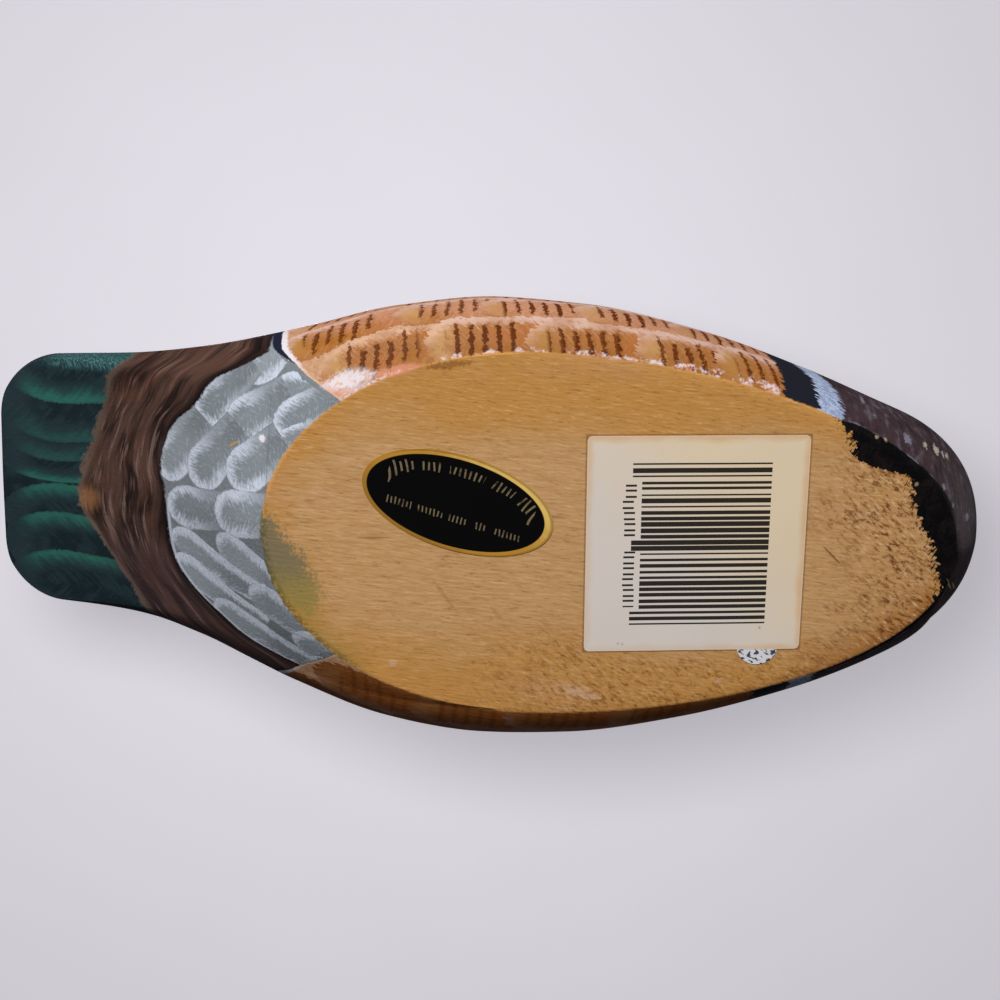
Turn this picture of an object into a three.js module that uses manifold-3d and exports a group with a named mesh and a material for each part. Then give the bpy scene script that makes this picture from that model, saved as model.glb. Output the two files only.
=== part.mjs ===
// A small carved and painted wooden duck that stands on a flat oval base.
// Units are millimetres. +X points to the breast, +Y to the duck's left side, +Z up.
// The flat base lies in z = 0, and the origin is under the middle of the duck's length.
import * as THREE from 'three';
import { mergeVertices } from 'three/addons/utils/BufferGeometryUtils.js';
import Module from 'manifold-3d';

// Driving dimensions: the body's length, the flat base and the rounding of the breast and tail
const TAIL_END = -98;
const BREAST_FRONT = 98;
const BREAST_FRONT_HEIGHT = 26;
const BREAST_PLAN_ROUNDING = { run: 22, power: 2.8 };
const BREAST_BROW_ROUNDING = { run: 14, power: 2.2 };
const STEM_POWER = 2.2;
const TAIL_CORNER_ROUNDING = { run: 15, power: 2.6, shareLeft: 0.48 };
const BASE_REAR = -40;
const BASE_FRONT = 85.6;
const BASE_WIDEST_AT = 8;
const BASE_HALF_WIDTH = 32.8;
const BASE_REAR_POWER = 2;
const BASE_FRONT_POWER = 1.9;

// Driving dimensions: the cross-section. The chine is the soft edge between underside and flank
const CHINE_FRONT = 5;
const FLANK_START_ANGLE = 0.3;
const UNDERSIDE_BOW = 1.3;
const BACK_FULLNESS = { across: 0.86, up: 0.94 };

// Driving dimensions: the neck joint, the neck and the eyes
const NECK_AT = 49;
const NECK_JOINT_HEIGHT = 61;
const NECK_HALF_LENGTH = 17;
const NECK_HALF_WIDTH = 13.5;
const NECK_FLARE = { out: 11, depth: 15, power: 1.6, acrossShare: 0.8 };
const NECK_TOP = 78;
const NECK_LEAN = -1.5;
const NECK_WAIST = 3;
const NECK_TOP_NARROWING = 1.8;
const EYE_RADIUS = 3.2;
const EYE_AT = [60, 85];
const EYE_CENTRE_OUT = 11;

// Driving dimensions: the paper and foil labels, let in flush with the base
const LABEL_THICKNESS = 0.35;
const FIT_GAP = 0.3;
const SQUARE_LABEL = { at: [37.4, 0], side: 40, corner: 1.5, turn: -0.049 };
const OVAL_LABEL = { at: [-5.8, -5.9], halfLength: 17.6, halfWidth: 8.6, turn: 0.267 };
const ROUND_LABEL = { at: [50.5, 18.4], radius: 3.9 };

// Mesh density
const BASE_COLUMNS = 3;
const UNDERSIDE_COLUMNS = 5;
const FLANK_COLUMNS = 8;
const BACK_COLUMNS = 12;
const HEAD_SIDES = 28;
const NECK_LEVELS = 6;
const FLARE_LEVELS = 9;
const CORNER_SEGMENTS = 4;
const OVAL_SEGMENTS = 20;
const ROUND_SEGMENTS = 12;

// A smooth curve through a few knots of [place, value], for side and plan outlines
function profile(knots) {
  const last = knots.length - 1;
  const rise = (i) => (knots[i + 1][1] - knots[i][1]) / (knots[i + 1][0] - knots[i][0]);
  const slopes = knots.map((_, i) => {
    if (i === 0) return rise(0);
    if (i === last) return rise(last - 1);
    const before = rise(i - 1);
    const after = rise(i);
    return before * after <= 0 ? 0 : (2 * before * after) / (before + after);
  });
  return (x) => {
    if (x <= knots[0][0]) return knots[0][1];
    if (x >= knots[last][0]) return knots[last][1];
    let i = 0;
    while (x > knots[i + 1][0]) i += 1;
    const run = knots[i + 1][0] - knots[i][0];
    const t = (x - knots[i][0]) / run;
    const start = (1 + 2 * t) * (1 - t) ** 2 * knots[i][1] + t * (1 - t) ** 2 * run * slopes[i];
    const end = (3 - 2 * t) * t ** 2 * knots[i + 1][1] + (t - 1) * t ** 2 * run * slopes[i + 1];
    return start + end;
  };
}

// The body's side outlines: heights along X
const backHeight = profile([
  [-98, 38], [-87, 40.5], [-71, 44.5], [-53, 50], [-29, 56], [-1, 59.5],
  [24, 60.5], [47, 59], [63, 54.6], [77, 47.6], [89, 40.6], [98, 34],
]);
const undersideHeight = profile([
  [-96, 33.6], [-86, 31.6], [-75, 28.6], [-67, 24.6], [-59, 18.2], [-51, 9.6], [-45, 3.4], [BASE_REAR, 0],
]);
const chineHeight = profile([
  [-96, 34.2], [-86, 32.4], [-75, 29.4], [-66, 25.4], [-55, 17.4],
  [-44, 10], [-34, 5.4], [-22, 2.6], [-7, 0.8], [CHINE_FRONT, 0],
]);
const widestHeight = profile([
  [-96, 36], [-81, 35.5], [-67, 33], [-56, 29], [-36, 20], [-11, 14.5], [19, 14], [59, 17], [85, 23],
  [BREAST_FRONT, BREAST_FRONT_HEIGHT],
]);

// The body's plan outlines: half widths along X
const chineHalfWidth = profile([
  [-96, 24.3], [-86, 24.7], [-75, 24.4], [-66, 23.9], [-55, 23.4], [-44, 25.1], [-34, 28.1], [-22, 30.9],
  [-11, 32.3], [CHINE_FRONT, BASE_HALF_WIDTH],
]);
const widestHalfWidth = profile([
  [-96, 25], [-84, 25.7], [-71, 26.6], [-56, 29], [-36, 34.2], [-18, 39.4], [1, 41.9], [17, 41.3],
  [39, 37.4], [59, 31.4], [79, 24.2], [89, 21], [98, 18],
]);

// What a rounding leaves of a full width or height, from 1 at its start to 0 at its end
function rounding(t, power) {
  return (1 - Math.min(1, Math.max(0, t)) ** power) ** (1 / power);
}
function towardsBreast(x, from) {
  return (x - from) / (BREAST_FRONT - from);
}
function breastRounding(x, { run, power }) {
  return rounding(towardsBreast(x, BREAST_FRONT - run), power);
}
function tailCorner(x) {
  const { run, power, shareLeft } = TAIL_CORNER_ROUNDING;
  return Math.max(shareLeft, rounding(1 - (x - TAIL_END) / run, power));
}

// Half the width of the flat base: two half ovals that meet at the widest place
function baseHalfWidth(x) {
  if (x <= BASE_REAR || x >= BASE_FRONT) return 0;
  const reach = x < BASE_WIDEST_AT ? BASE_WIDEST_AT - BASE_REAR : BASE_FRONT - BASE_WIDEST_AT;
  const power = x < BASE_WIDEST_AT ? BASE_REAR_POWER : BASE_FRONT_POWER;
  return BASE_HALF_WIDTH * Math.sqrt(1 - (Math.abs(x - BASE_WIDEST_AT) / reach) ** power);
}

// The main measures of one cross-section
function sectionMeasures(x) {
  const inFront = Math.max(0, towardsBreast(x, BASE_FRONT));
  const bow = breastRounding(x, BREAST_PLAN_ROUNDING);
  const brow = breastRounding(x, BREAST_BROW_ROUNDING);
  const corner = tailCorner(x);
  const base = baseHalfWidth(x);
  const hasChine = x <= CHINE_FRONT;
  const middleZ = widestHeight(x);
  const stemZ = BREAST_FRONT_HEIGHT * (1 - (1 - inFront) ** (1 / STEM_POWER));
  const bottomZ = x < BASE_REAR ? undersideHeight(x) : Math.min(stemZ, middleZ);
  return {
    base,
    bottomZ,
    middleZ,
    chine: hasChine ? Math.max(base, chineHalfWidth(x) * corner) : base,
    chineZ: hasChine ? chineHeight(x) : bottomZ,
    widest: widestHalfWidth(x) * bow * corner,
    topZ: middleZ + (backHeight(x) - middleZ) * brow,
    startAngle: FLANK_START_ANGLE * (1 - inFront),
  };
}

// One half of a cross-section, from the middle of the underside to the middle of the back
function halfSection(x) {
  const { base, bottomZ, middleZ, chine, chineZ, widest, topZ, startAngle } = sectionMeasures(x);
  const points = [];
  for (let i = 0; i < BASE_COLUMNS; i += 1) {
    points.push([(base * i) / BASE_COLUMNS, bottomZ]);
  }
  for (let i = 0; i < UNDERSIDE_COLUMNS; i += 1) {
    const t = i / UNDERSIDE_COLUMNS;
    points.push([base + (chine - base) * t, bottomZ + (chineZ - bottomZ) * t ** UNDERSIDE_BOW]);
  }
  const reach = (widest - chine) / (1 - Math.sin(startAngle));
  const rise = (middleZ - chineZ) / Math.cos(startAngle);
  for (let i = 0; i < FLANK_COLUMNS; i += 1) {
    const angle = startAngle + ((Math.PI / 2 - startAngle) * i) / FLANK_COLUMNS;
    points.push([widest - reach * (1 - Math.sin(angle)), middleZ - rise * Math.cos(angle)]);
  }
  for (let i = 0; i < BACK_COLUMNS; i += 1) {
    const angle = ((Math.PI / 2) * i) / BACK_COLUMNS;
    const y = widest * Math.cos(angle) ** BACK_FULLNESS.across;
    points.push([y, middleZ + (topZ - middleZ) * Math.sin(angle) ** BACK_FULLNESS.up]);
  }
  points.push([0, topZ]);
  return points;
}

// A closed ring of [x, y, z] points: the half section and its mirror image
function bodyRing(x) {
  const half = halfSection(x);
  const left = half.map(([y, z]) => [x, y, z]);
  const right = half.slice(1, -1).reverse().map(([y, z]) => [x, -y, z]);
  return [...left, ...right];
}

// Places along X, closer together where the outline turns fast
function spaced(from, to, count, ease = (t) => t) {
  return Array.from({ length: count }, (_, i) => from + (to - from) * ease(i / count));
}
function bodyStations() {
  const slowStart = (t) => 1 - Math.cos((t * Math.PI) / 2);
  const slowEnd = (t) => Math.sin((t * Math.PI) / 2);
  const tailRoot = TAIL_END + TAIL_CORNER_ROUNDING.run;
  const foremost = BREAST_FRONT - 0.02;
  return [
    ...spaced(TAIL_END, tailRoot, 6, slowStart),
    ...spaced(tailRoot, BASE_REAR, 10),
    ...spaced(BASE_REAR, BASE_WIDEST_AT, 12, slowStart),
    ...spaced(BASE_WIDEST_AT, BASE_FRONT, 18, slowEnd),
    ...spaced(BASE_FRONT, BREAST_FRONT, 7, slowEnd),
    foremost,
  ];
}

// A closed skin over rings of equal length, with a fan over each end ring
function skin(rings) {
  const vertices = [];
  const known = new Map();
  const cellsPerMillimetre = 2000;
  const vertex = (p) => {
    const key = p.map((value) => Math.round(value * cellsPerMillimetre)).join(' ');
    if (!known.has(key)) {
      known.set(key, vertices.length / 3);
      vertices.push(...p);
    }
    return known.get(key);
  };
  const triangles = [];
  const triangle = (a, b, c) => {
    if (a !== b && b !== c && c !== a) triangles.push(a, b, c);
  };
  const ids = rings.map((ring) => ring.map(vertex));
  const sides = rings[0].length;
  const last = rings.length - 1;
  const middle = (ring) => [0, 1, 2].map((axis) => ring.reduce((sum, p) => sum + p[axis], 0) / sides);
  const firstHub = vertex(middle(rings[0]));
  const lastHub = vertex(middle(rings[last]));
  for (let j = 0; j < sides; j += 1) {
    const k = (j + 1) % sides;
    for (let i = 0; i < last; i += 1) {
      triangle(ids[i][j], ids[i + 1][k], ids[i + 1][j]);
      triangle(ids[i][j], ids[i][k], ids[i + 1][k]);
    }
    triangle(firstHub, ids[0][k], ids[0][j]);
    triangle(lastHub, ids[last][j], ids[last][k]);
  }
  const geometry = new THREE.BufferGeometry();
  geometry.setAttribute('position', new THREE.Float32BufferAttribute(vertices, 3));
  geometry.setIndex(triangles);
  return geometry;
}

// three.js geometry to a solid and back
const wasm = await Module();
wasm.setup();
function solid(geometry) {
  const bare = geometry.clone();
  bare.deleteAttribute('normal');
  bare.deleteAttribute('uv');
  const merged = mergeVertices(bare, 1e-4);
  return new wasm.Manifold(new wasm.Mesh({
    numProp: 3,
    vertProperties: new Float32Array(merged.attributes.position.array),
    triVerts: new Uint32Array(merged.index.array),
  }));
}
function geometryOf(body) {
  const mesh = body.getMesh();
  const geometry = new THREE.BufferGeometry();
  geometry.setAttribute('position', new THREE.BufferAttribute(mesh.vertProperties, 3));
  geometry.setIndex(new THREE.BufferAttribute(mesh.triVerts, 1));
  geometry.computeVertexNormals();
  return geometry;
}

// The neck: a stump that flares into the body, and the head's own part above the joint
function ovalRing(centreX, halfLength, halfWidth, z) {
  return Array.from({ length: HEAD_SIDES }, (_, i) => {
    const angle = (2 * Math.PI * i) / HEAD_SIDES;
    return [centreX + halfLength * Math.cos(angle), halfWidth * Math.sin(angle), z];
  });
}
function neckStump() {
  const rings = Array.from({ length: FLARE_LEVELS }, (_, i) => {
    const down = 1 - i / (FLARE_LEVELS - 1);
    const flare = NECK_FLARE.out * down ** NECK_FLARE.power;
    const z = NECK_JOINT_HEIGHT - NECK_FLARE.depth * down;
    return ovalRing(NECK_AT, NECK_HALF_LENGTH + flare, NECK_HALF_WIDTH + flare * NECK_FLARE.acrossShare, z);
  });
  return solid(skin(rings));
}
function neck() {
  const bottom = NECK_JOINT_HEIGHT + FIT_GAP;
  const rings = Array.from({ length: NECK_LEVELS }, (_, i) => {
    const t = i / (NECK_LEVELS - 1);
    const halfLength = NECK_HALF_LENGTH - NECK_WAIST * t * (1 - t);
    const halfWidth = NECK_HALF_WIDTH - NECK_TOP_NARROWING * t;
    return ovalRing(NECK_AT + NECK_LEAN * t, halfLength, halfWidth, bottom + (NECK_TOP - bottom) * t);
  });
  return solid(skin(rings));
}

// The head, along X from the end of the crest to the tip of the bill
const headTop = profile([
  [16, 68.5], [20, 74.5], [28, 84], [38, 92.2], [48, 96.8], [57, 97.6],
  [65, 94.8], [71, 89.4], [75, 86.2], [81, 84], [87, 81.8], [90.6, 79.6],
]);
const headBottom = profile([
  [16, 65], [20, 62.8], [27, 62.2], [41, 63], [55, 67.5],
  [64, 71.4], [71, 73.2], [79, 73.8], [86, 73.6], [90.6, 74.8],
]);
const headHalfWidth = profile([
  [16, 2], [21, 5.4], [29, 9], [39, 12.2], [49, 13.9], [58, 13.6],
  [65, 11.4], [70, 8.8], [74, 7.4], [81, 6.8], [87, 5.8], [90.6, 3.4],
]);
const headPlaces = [
  16, 17, 18.6, 21, 24, 28, 32, 37, 42, 47, 52, 57, 61, 65, 68, 71, 74, 77, 81, 85, 88, 89.8, 90.6,
];
function head() {
  const rings = headPlaces.map((x) => {
    const middle = (headTop(x) + headBottom(x)) / 2;
    const half = (headTop(x) - headBottom(x)) / 2;
    return Array.from({ length: HEAD_SIDES }, (_, i) => {
      const angle = (2 * Math.PI * i) / HEAD_SIDES;
      return [x, headHalfWidth(x) * Math.sin(angle), middle - half * Math.cos(angle)];
    });
  });
  return solid(skin(rings));
}

// Eyes: glass beads half sunk in round sockets
function bead(radius, side) {
  const sphere = new THREE.SphereGeometry(radius, 16, 10);
  sphere.translate(EYE_AT[0], side * EYE_CENTRE_OUT, EYE_AT[1]);
  return solid(sphere);
}

// Thin label plates on the base, each from an outline in plan
function plate(shape, curveSegments, at, turn, from, to) {
  const geometry = new THREE.ExtrudeGeometry(shape, { depth: to - from, bevelEnabled: false, curveSegments });
  geometry.rotateZ(turn);
  geometry.translate(at[0], at[1], from);
  return solid(geometry);
}
function squarePlate(grow, from, to) {
  const { side, corner, at, turn } = SQUARE_LABEL;
  const inset = side / 2 + grow - corner;
  const shape = new THREE.Shape();
  [[1, 1], [-1, 1], [-1, -1], [1, -1]].forEach(([x, y], quarter) => {
    const start = (quarter * Math.PI) / 2;
    shape.absarc(inset * x, inset * y, corner, start, start + Math.PI / 2);
  });
  return plate(shape, CORNER_SEGMENTS, at, turn, from, to);
}
function ovalPlate(grow, from, to) {
  const { halfLength, halfWidth, at, turn } = OVAL_LABEL;
  const shape = new THREE.Shape();
  shape.absellipse(0, 0, halfLength + grow, halfWidth + grow, 0, 2 * Math.PI);
  return plate(shape, OVAL_SEGMENTS, at, turn, from, to);
}
function roundPlate(grow, from, to) {
  const shape = new THREE.Shape();
  shape.absarc(0, 0, ROUND_LABEL.radius + grow, 0, 2 * Math.PI);
  return plate(shape, ROUND_SEGMENTS, ROUND_LABEL.at, 0, from, to);
}

const below = -1;
const above = 1;
const pocketDepth = LABEL_THICKNESS + FIT_GAP;

const pocketPlates = [squarePlate, ovalPlate, roundPlate];
const carvedBody = pocketPlates.reduce(
  (body, makePlate) => body.subtract(makePlate(FIT_GAP, below, pocketDepth)),
  solid(skin(bodyStations().map(bodyRing))).add(neckStump()),
);
const carvedHead = [1, -1].reduce(
  (whole, side) => whole.subtract(bead(EYE_RADIUS + FIT_GAP, side)),
  head().add(neck()),
);
const shownRoundLabel = roundPlate(0, 0, LABEL_THICKNESS).subtract(squarePlate(FIT_GAP, below, above));

const group = new THREE.Group();
function addPiece(name, body, color, roughness, metalness = 0) {
  const material = new THREE.MeshStandardMaterial({ color, roughness, metalness });
  const mesh = new THREE.Mesh(geometryOf(body), material);
  mesh.name = name;
  group.add(mesh);
}
addPiece('body', carvedBody, 0x8a6a4a, 0.5);
addPiece('head', carvedHead, 0x1f3d34, 0.45);
addPiece('eye_left', bead(EYE_RADIUS, 1), 0x9a1d12, 0.1);
addPiece('eye_right', bead(EYE_RADIUS, -1), 0x9a1d12, 0.1);
addPiece('square_label', squarePlate(0, 0, LABEL_THICKNESS), 0xd9ccb4, 0.8);
addPiece('oval_label', ovalPlate(0, 0, LABEL_THICKNESS), 0x15130f, 0.3, 0.2);
addPiece('round_label', shownRoundLabel, 0xe8e8ea, 0.7);

export default group;
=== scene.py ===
"""A small carved and painted wooden duck on a flat oval base, seen from below in a plain studio."""

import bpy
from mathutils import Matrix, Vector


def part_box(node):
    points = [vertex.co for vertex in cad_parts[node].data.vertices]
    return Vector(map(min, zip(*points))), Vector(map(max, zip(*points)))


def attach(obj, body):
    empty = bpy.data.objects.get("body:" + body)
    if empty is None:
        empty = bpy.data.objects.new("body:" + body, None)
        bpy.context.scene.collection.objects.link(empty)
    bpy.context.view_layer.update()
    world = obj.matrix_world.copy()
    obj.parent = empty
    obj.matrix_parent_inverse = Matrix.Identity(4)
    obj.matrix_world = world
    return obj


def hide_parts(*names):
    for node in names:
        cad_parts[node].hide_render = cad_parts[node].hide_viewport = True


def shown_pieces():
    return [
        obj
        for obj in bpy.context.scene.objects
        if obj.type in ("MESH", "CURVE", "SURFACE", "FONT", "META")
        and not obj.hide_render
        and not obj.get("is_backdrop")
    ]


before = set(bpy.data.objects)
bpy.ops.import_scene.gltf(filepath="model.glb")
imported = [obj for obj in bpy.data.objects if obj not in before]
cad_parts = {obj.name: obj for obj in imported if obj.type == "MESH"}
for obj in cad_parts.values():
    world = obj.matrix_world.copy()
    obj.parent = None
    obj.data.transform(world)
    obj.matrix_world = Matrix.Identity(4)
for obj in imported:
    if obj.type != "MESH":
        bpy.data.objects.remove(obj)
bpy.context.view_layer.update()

import math
from typing import NamedTuple

import bpy
import numpy as np
from mathutils import Matrix, Vector

bl_info = {
    "name": "Painted duck",
    "version": (1, 0, 0),
    "blender": (4, 5, 0),
    "location": "3D View > Sidebar > Duck",
    "description": "Models, paints and lights a small carved wooden duck",
    "category": "Object",
}

# Lengths are in millimetres as drawn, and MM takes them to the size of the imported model
BODY_LOW, BODY_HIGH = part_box("body")
LENGTH_AS_DRAWN = 195.98
MM = (BODY_HIGH.x - BODY_LOW.x) / LENGTH_AS_DRAWN

TAIL_END = -98
BREAST_FRONT = 98
BREAST_FRONT_HEIGHT = 26
BREAST_PLAN_RUN, BREAST_PLAN_POWER = 22, 2.8
BREAST_BROW_RUN, BREAST_BROW_POWER = 14, 2.2
STEM_POWER = 2.2
TAIL_CORNER_RUN, TAIL_CORNER_POWER, TAIL_END_SHARE = 12, 2, 0.5
TAIL_EDGE_RADIUS = 1.7
BASE_REAR, BASE_FRONT, BASE_WIDEST_AT, BASE_HALF_WIDTH = -40, 85.6, 8, 32.8
BASE_REAR_POWER, BASE_FRONT_POWER = 2, 1.9
CHINE_FRONT = 5
FLANK_START_ANGLE = 0.3
UNDERSIDE_BOW = 1.3
BACK_ACROSS_POWER, BACK_UP_POWER = 0.86, 0.94

NECK_AT, NECK_JOINT_HEIGHT = 49, 61
NECK_HALF_LENGTH, NECK_HALF_WIDTH = 17, 13.5
NECK_FLARE_OUT, NECK_FLARE_DEPTH, NECK_FLARE_POWER = 11, 15, 1.6
NECK_TOP, NECK_LEAN, NECK_WAIST, NECK_TOP_NARROWING = 78, -1.5, 3, 1.8
NECK_BLEND, NECK_GLUE_GAP = 1.2, 0.02
HEAD_VOXEL = 0.55
EYE_X, EYE_Z, EYE_CENTRE_OUT = 60, 85, 11
EYE_BULGE, EYE_BULGE_REACH, PUPIL_RADIUS = 0.35, 1.7, 1.5

# Columns of the body's mesh across each strip of half a cross-section
BASE_COLUMNS, UNDERSIDE_COLUMNS, FLANK_COLUMNS, BACK_COLUMNS = 18, 22, 32, 34
CHINE_COLUMN = BASE_COLUMNS + UNDERSIDE_COLUMNS
WIDEST_COLUMN = CHINE_COLUMN + FLANK_COLUMNS

# How much a feather narrows towards its root, for each length of its round tip
FEATHER_TAPER = 0.1

# Feathers lie in layers. Past its outline a feather keeps its layer to itself for a margin, in half
# widths or millimetres, out to the claimed share, and its paint shows within the shown share
FEATHER_LAYERS = 9
FEATHER_MARGIN, FEATHER_CLAIMED_WITHIN, FEATHER_SHOWN_WITHIN = 1.2, 1.3, 1.06


def profile(knots):
    """A smooth curve through a few knots of [place, value], for outlines."""
    places, values = np.array(knots, float).T
    rise = np.diff(values) / np.diff(places)
    before, after = rise[:-1], rise[1:]
    turns = before * after <= 0
    inner = np.where(turns, 0, 2 * before * after / np.where(turns, 1, before + after))
    slopes = np.concatenate([rise[:1], inner, rise[-1:]])

    def at(x):
        x = np.clip(x, places[0], places[-1])
        i = np.clip(np.searchsorted(places, x, side="right") - 1, 0, len(places) - 2)
        run = places[i + 1] - places[i]
        t = (x - places[i]) / run
        start = (1 + 2 * t) * (1 - t) ** 2 * values[i] + t * (1 - t) ** 2 * run * slopes[i]
        end = (3 - 2 * t) * t**2 * values[i + 1] + (t - 1) * t**2 * run * slopes[i + 1]
        return start + end

    return at


# The body's side outlines: heights along X
back_height = profile([
    [-98, 38], [-87, 40.5], [-71, 44.5], [-53, 50], [-29, 56], [-1, 59.5],
    [24, 60.5], [47, 59], [63, 54.6], [77, 47.6], [89, 40.6], [98, 34],
])
underside_height = profile([
    [-96, 33.6], [-86, 31.6], [-75, 28.6], [-67, 24.6],
    [-59, 18.2], [-51, 9.6], [-45, 3.4], [BASE_REAR, 0],
])
chine_height = profile([
    [-96, 34.2], [-86, 32.4], [-75, 29.4], [-66, 25.4], [-55, 17.4],
    [-44, 10], [-34, 5.4], [-22, 2.6], [-7, 0.8], [CHINE_FRONT, 0],
])
widest_height = profile([
    [-96, 36], [-81, 35.5], [-67, 33], [-56, 29], [-36, 20],
    [-11, 14.5], [19, 14], [59, 17], [85, 23], [BREAST_FRONT, BREAST_FRONT_HEIGHT],
])

# The body's plan outlines: half widths along X
chine_half_width = profile([
    [-96, 24.3], [-86, 24.7], [-75, 24.4], [-66, 23.9], [-55, 23.4],
    [-44, 25.1], [-34, 28.1], [-22, 30.9], [-11, 32.3], [CHINE_FRONT, BASE_HALF_WIDTH],
])
widest_half_width = profile([
    [-96, 25], [-84, 25.7], [-71, 26.6], [-56, 29], [-36, 34.2], [-18, 39.4], [1, 41.9], [17, 41.3],
    [39, 37.4], [59, 31.4], [79, 24.2], [89, 21], [98, 18],
])

# The head, along X from the end of the crest to the tip of the bill
head_top = profile([
    [16, 68.5], [20, 74.5], [28, 84], [38, 92.2], [48, 96.8], [57, 97.6],
    [65, 94.8], [71, 89.4], [75, 86.2], [81, 84], [87, 81.8], [90.6, 79.6],
])
head_bottom = profile([
    [16, 65], [20, 62.8], [27, 62.2], [41, 63], [55, 67.5],
    [64, 71.4], [71, 73.2], [79, 73.8], [86, 73.6], [90.6, 74.8],
])
head_half_width = profile([
    [16, 2], [21, 5.4], [29, 9], [39, 12.2], [49, 13.9], [58, 13.6],
    [65, 11.4], [70, 8.8], [74, 7.4], [81, 6.8], [87, 5.8], [90.6, 3.4],
])
CREST_END, BILL_TIP = 16, 90.6

# Where one field of paint meets the next. The tail, belly and breast lines are places along X for
# each Y. The flank's lines are places along X for each distance up the flank from its lower edge
tail_line = profile([
    [-27, -70], [-22, -75], [-18, -75.7], [-11, -78], [-5.6, -80], [1, -81.6], [5.6, -80.7],
    [9, -78.3], [15.5, -73.9], [21, -69.6], [27, -65],
])
belly_line = profile([
    [-30, -41], [-27.3, -45.6], [-24, -51.5], [-19, -55.4], [-15, -59.8], [-10.8, -62], [-5.4, -63],
    [-2, -62], [4.3, -61.4], [9, -60.7], [12.5, -59.2], [15.2, -56.8], [18.2, -53], [20.2, -49.6],
    [22.4, -46.2], [24.3, -42.4], [26.4, -35.6], [29, -28],
])
black_spill_line = profile([
    [-24, 61.4], [-20.3, 63.8], [-17, 65], [-15.8, 67.6], [-14.4, 74.6], [-11.8, 75.8],
    [-8.2, 77], [-4.8, 78.4], [-1.7, 80.8], [2.4, 82], [5.9, 83], [8.7, 83], [13, 82],
    [16, 80], [19.5, 78], [24, 76],
])
flank_rear_line = profile([[-8, -26.5], [-6.6, -28], [0, -34.7], [6.7, -38.9], [17.8, -39.7], [26, -35]])
black_bar_line = profile([[-1, 50.4], [3, 51], [7, 51], [12, 50.3], [18, 49], [30, 44]])
breast_black_line = profile([
    [50, 0.2], [60.7, 0.5], [65, 1.5], [74, 1.8], [82, 2.6],
    [85, 3.4], [87.5, 4.8], [92, 5.2], [98, 5.2],
])
OLIVE_PATCH = [
    (-42, -3), (-38.6, -2.5), (-36.5, 1), (-34, 3.5), (-31.5, 7), (-29.5, 11), (-29.5, 14),
    (-32, 16), (-35, 14), (-38, 12), (-42, 6),
]
# Small marks in plan: spots are (x, y, radius), scratches and smears are (start, end, half width)
BREAST_DABS = [
    (69.2, -24.3, 0.3), (75.5, -20.4, 0.8), (82.4, -12.1, 0.5), (89.6, -6, 0.5), (68, -26.6, 0.4),
    (84.6, -9, 0.3),
]
BREAST_CREAM_DABS = [(79.8, -19.2, 0.4), (82.6, -18.2, 0.6), (84.6, -17.2, 0.4), (86.4, -16.5, 0.4)]
BREAST_CHIPS = [(76.6, -12.8, 0.25), (70.2, -20.6, 0.25), (68.4, -21, 0.25)]
BREAST_SCRATCHES = [((84.2, 4.3), (88.6, 8.4), 0.3), ((87, 5.8), (91.6, 10.2), 0.3)]
BELLY_SPECK = (-41.1, -15.3, 0.6)
BELLY_GOLD_FLECK = ((-48.2, -12.6), (-45.4, -14.4), 0.3)
# The middle of the painted highlight on the rump's ridge by the tail, in plan
RUMP_PAINTED_HIGHLIGHT_AT = (-79.6, 2.6)
WORN_PINK = [((-23, -27.4), (-12, -30.4), 1.3), ((-34, -23.2), (-23, -27), 2.2)]
WORN_WHITE = ((-31.5, -25), (-20, -28.6), 2.4)
WORN_DIRT = ((-14, -29.4), (-3, -31.2), 1.0)
WOOD_RUB = ((12.6, 27.4), (23.6, 30.4), 1.3)
WOOD_RUB_SPOTS = [(44.1, 25.8, 0.4), (-16.4, 24.4, 0.6)]
WOOD_CUT = ((60.2, -1.2), (65.2, 3.3), 0.3)
WOOD_SCUFFS = [((-10.4, 7.6), (-4, 15.8), 0.5), ((0.5, 12.6), (3.6, 16), 0.5)]
WOOD_NICKS = [((-24, 1.2), (-17, 0.8), 0.3), ((7, -4.4), (14, -4), 0.25)]
BLACK_BAR_WIDTH = 6.6
PALE_BAR_WIDTH = 4.4
flank_top_rise = profile([[-98, 2.2], [10, 2.2], [26, -0.4], [60, -0.6], [67, 1.5], [80, 16], [98, 40]])


class Feather(NamedTuple):
    """A painted feather on a developed surface: its tip, a point towards its root, its half width."""

    tip: tuple
    root: tuple
    half_width: float


# Flank feathers lie in the plane of (place along X, distance up the flank), and the rest in plan
FLANK_TIP_LENGTH = 6.5
FLANK_FEATHERS = [
    Feather((-39, 13), (-17, 17.5), 4),
    Feather((-22, 15.6), (-2, 18.5), 4),
    Feather((-5, 17), (14, 18.8), 4),
    Feather((12, 18), (32, 19), 4),
    Feather((30, 18), (50, 18.5), 4),
    Feather((-38.6, 4.5), (-16, 10.5), 4.6),
    Feather((-18.5, 8.5), (2, 12.4), 4.4),
    Feather((-3.5, 10.2), (18, 12.8), 4.2),
    Feather((13.5, 11.2), (36, 13), 4.2),
    Feather((31, 12.2), (52, 13.6), 4.2),
    Feather((-31, -2), (-8, 2.6), 4.8),
    Feather((-13, 0.8), (14, 4.4), 5.6),
    Feather((4.5, 1.4), (31, 4), 5.4),
    Feather((24, 2.2), (47, 5), 5.6),
    Feather((38.5, 3.4), (58, 6.2), 5.8),
]
BELLY_TIP_LENGTH = 5
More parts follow.
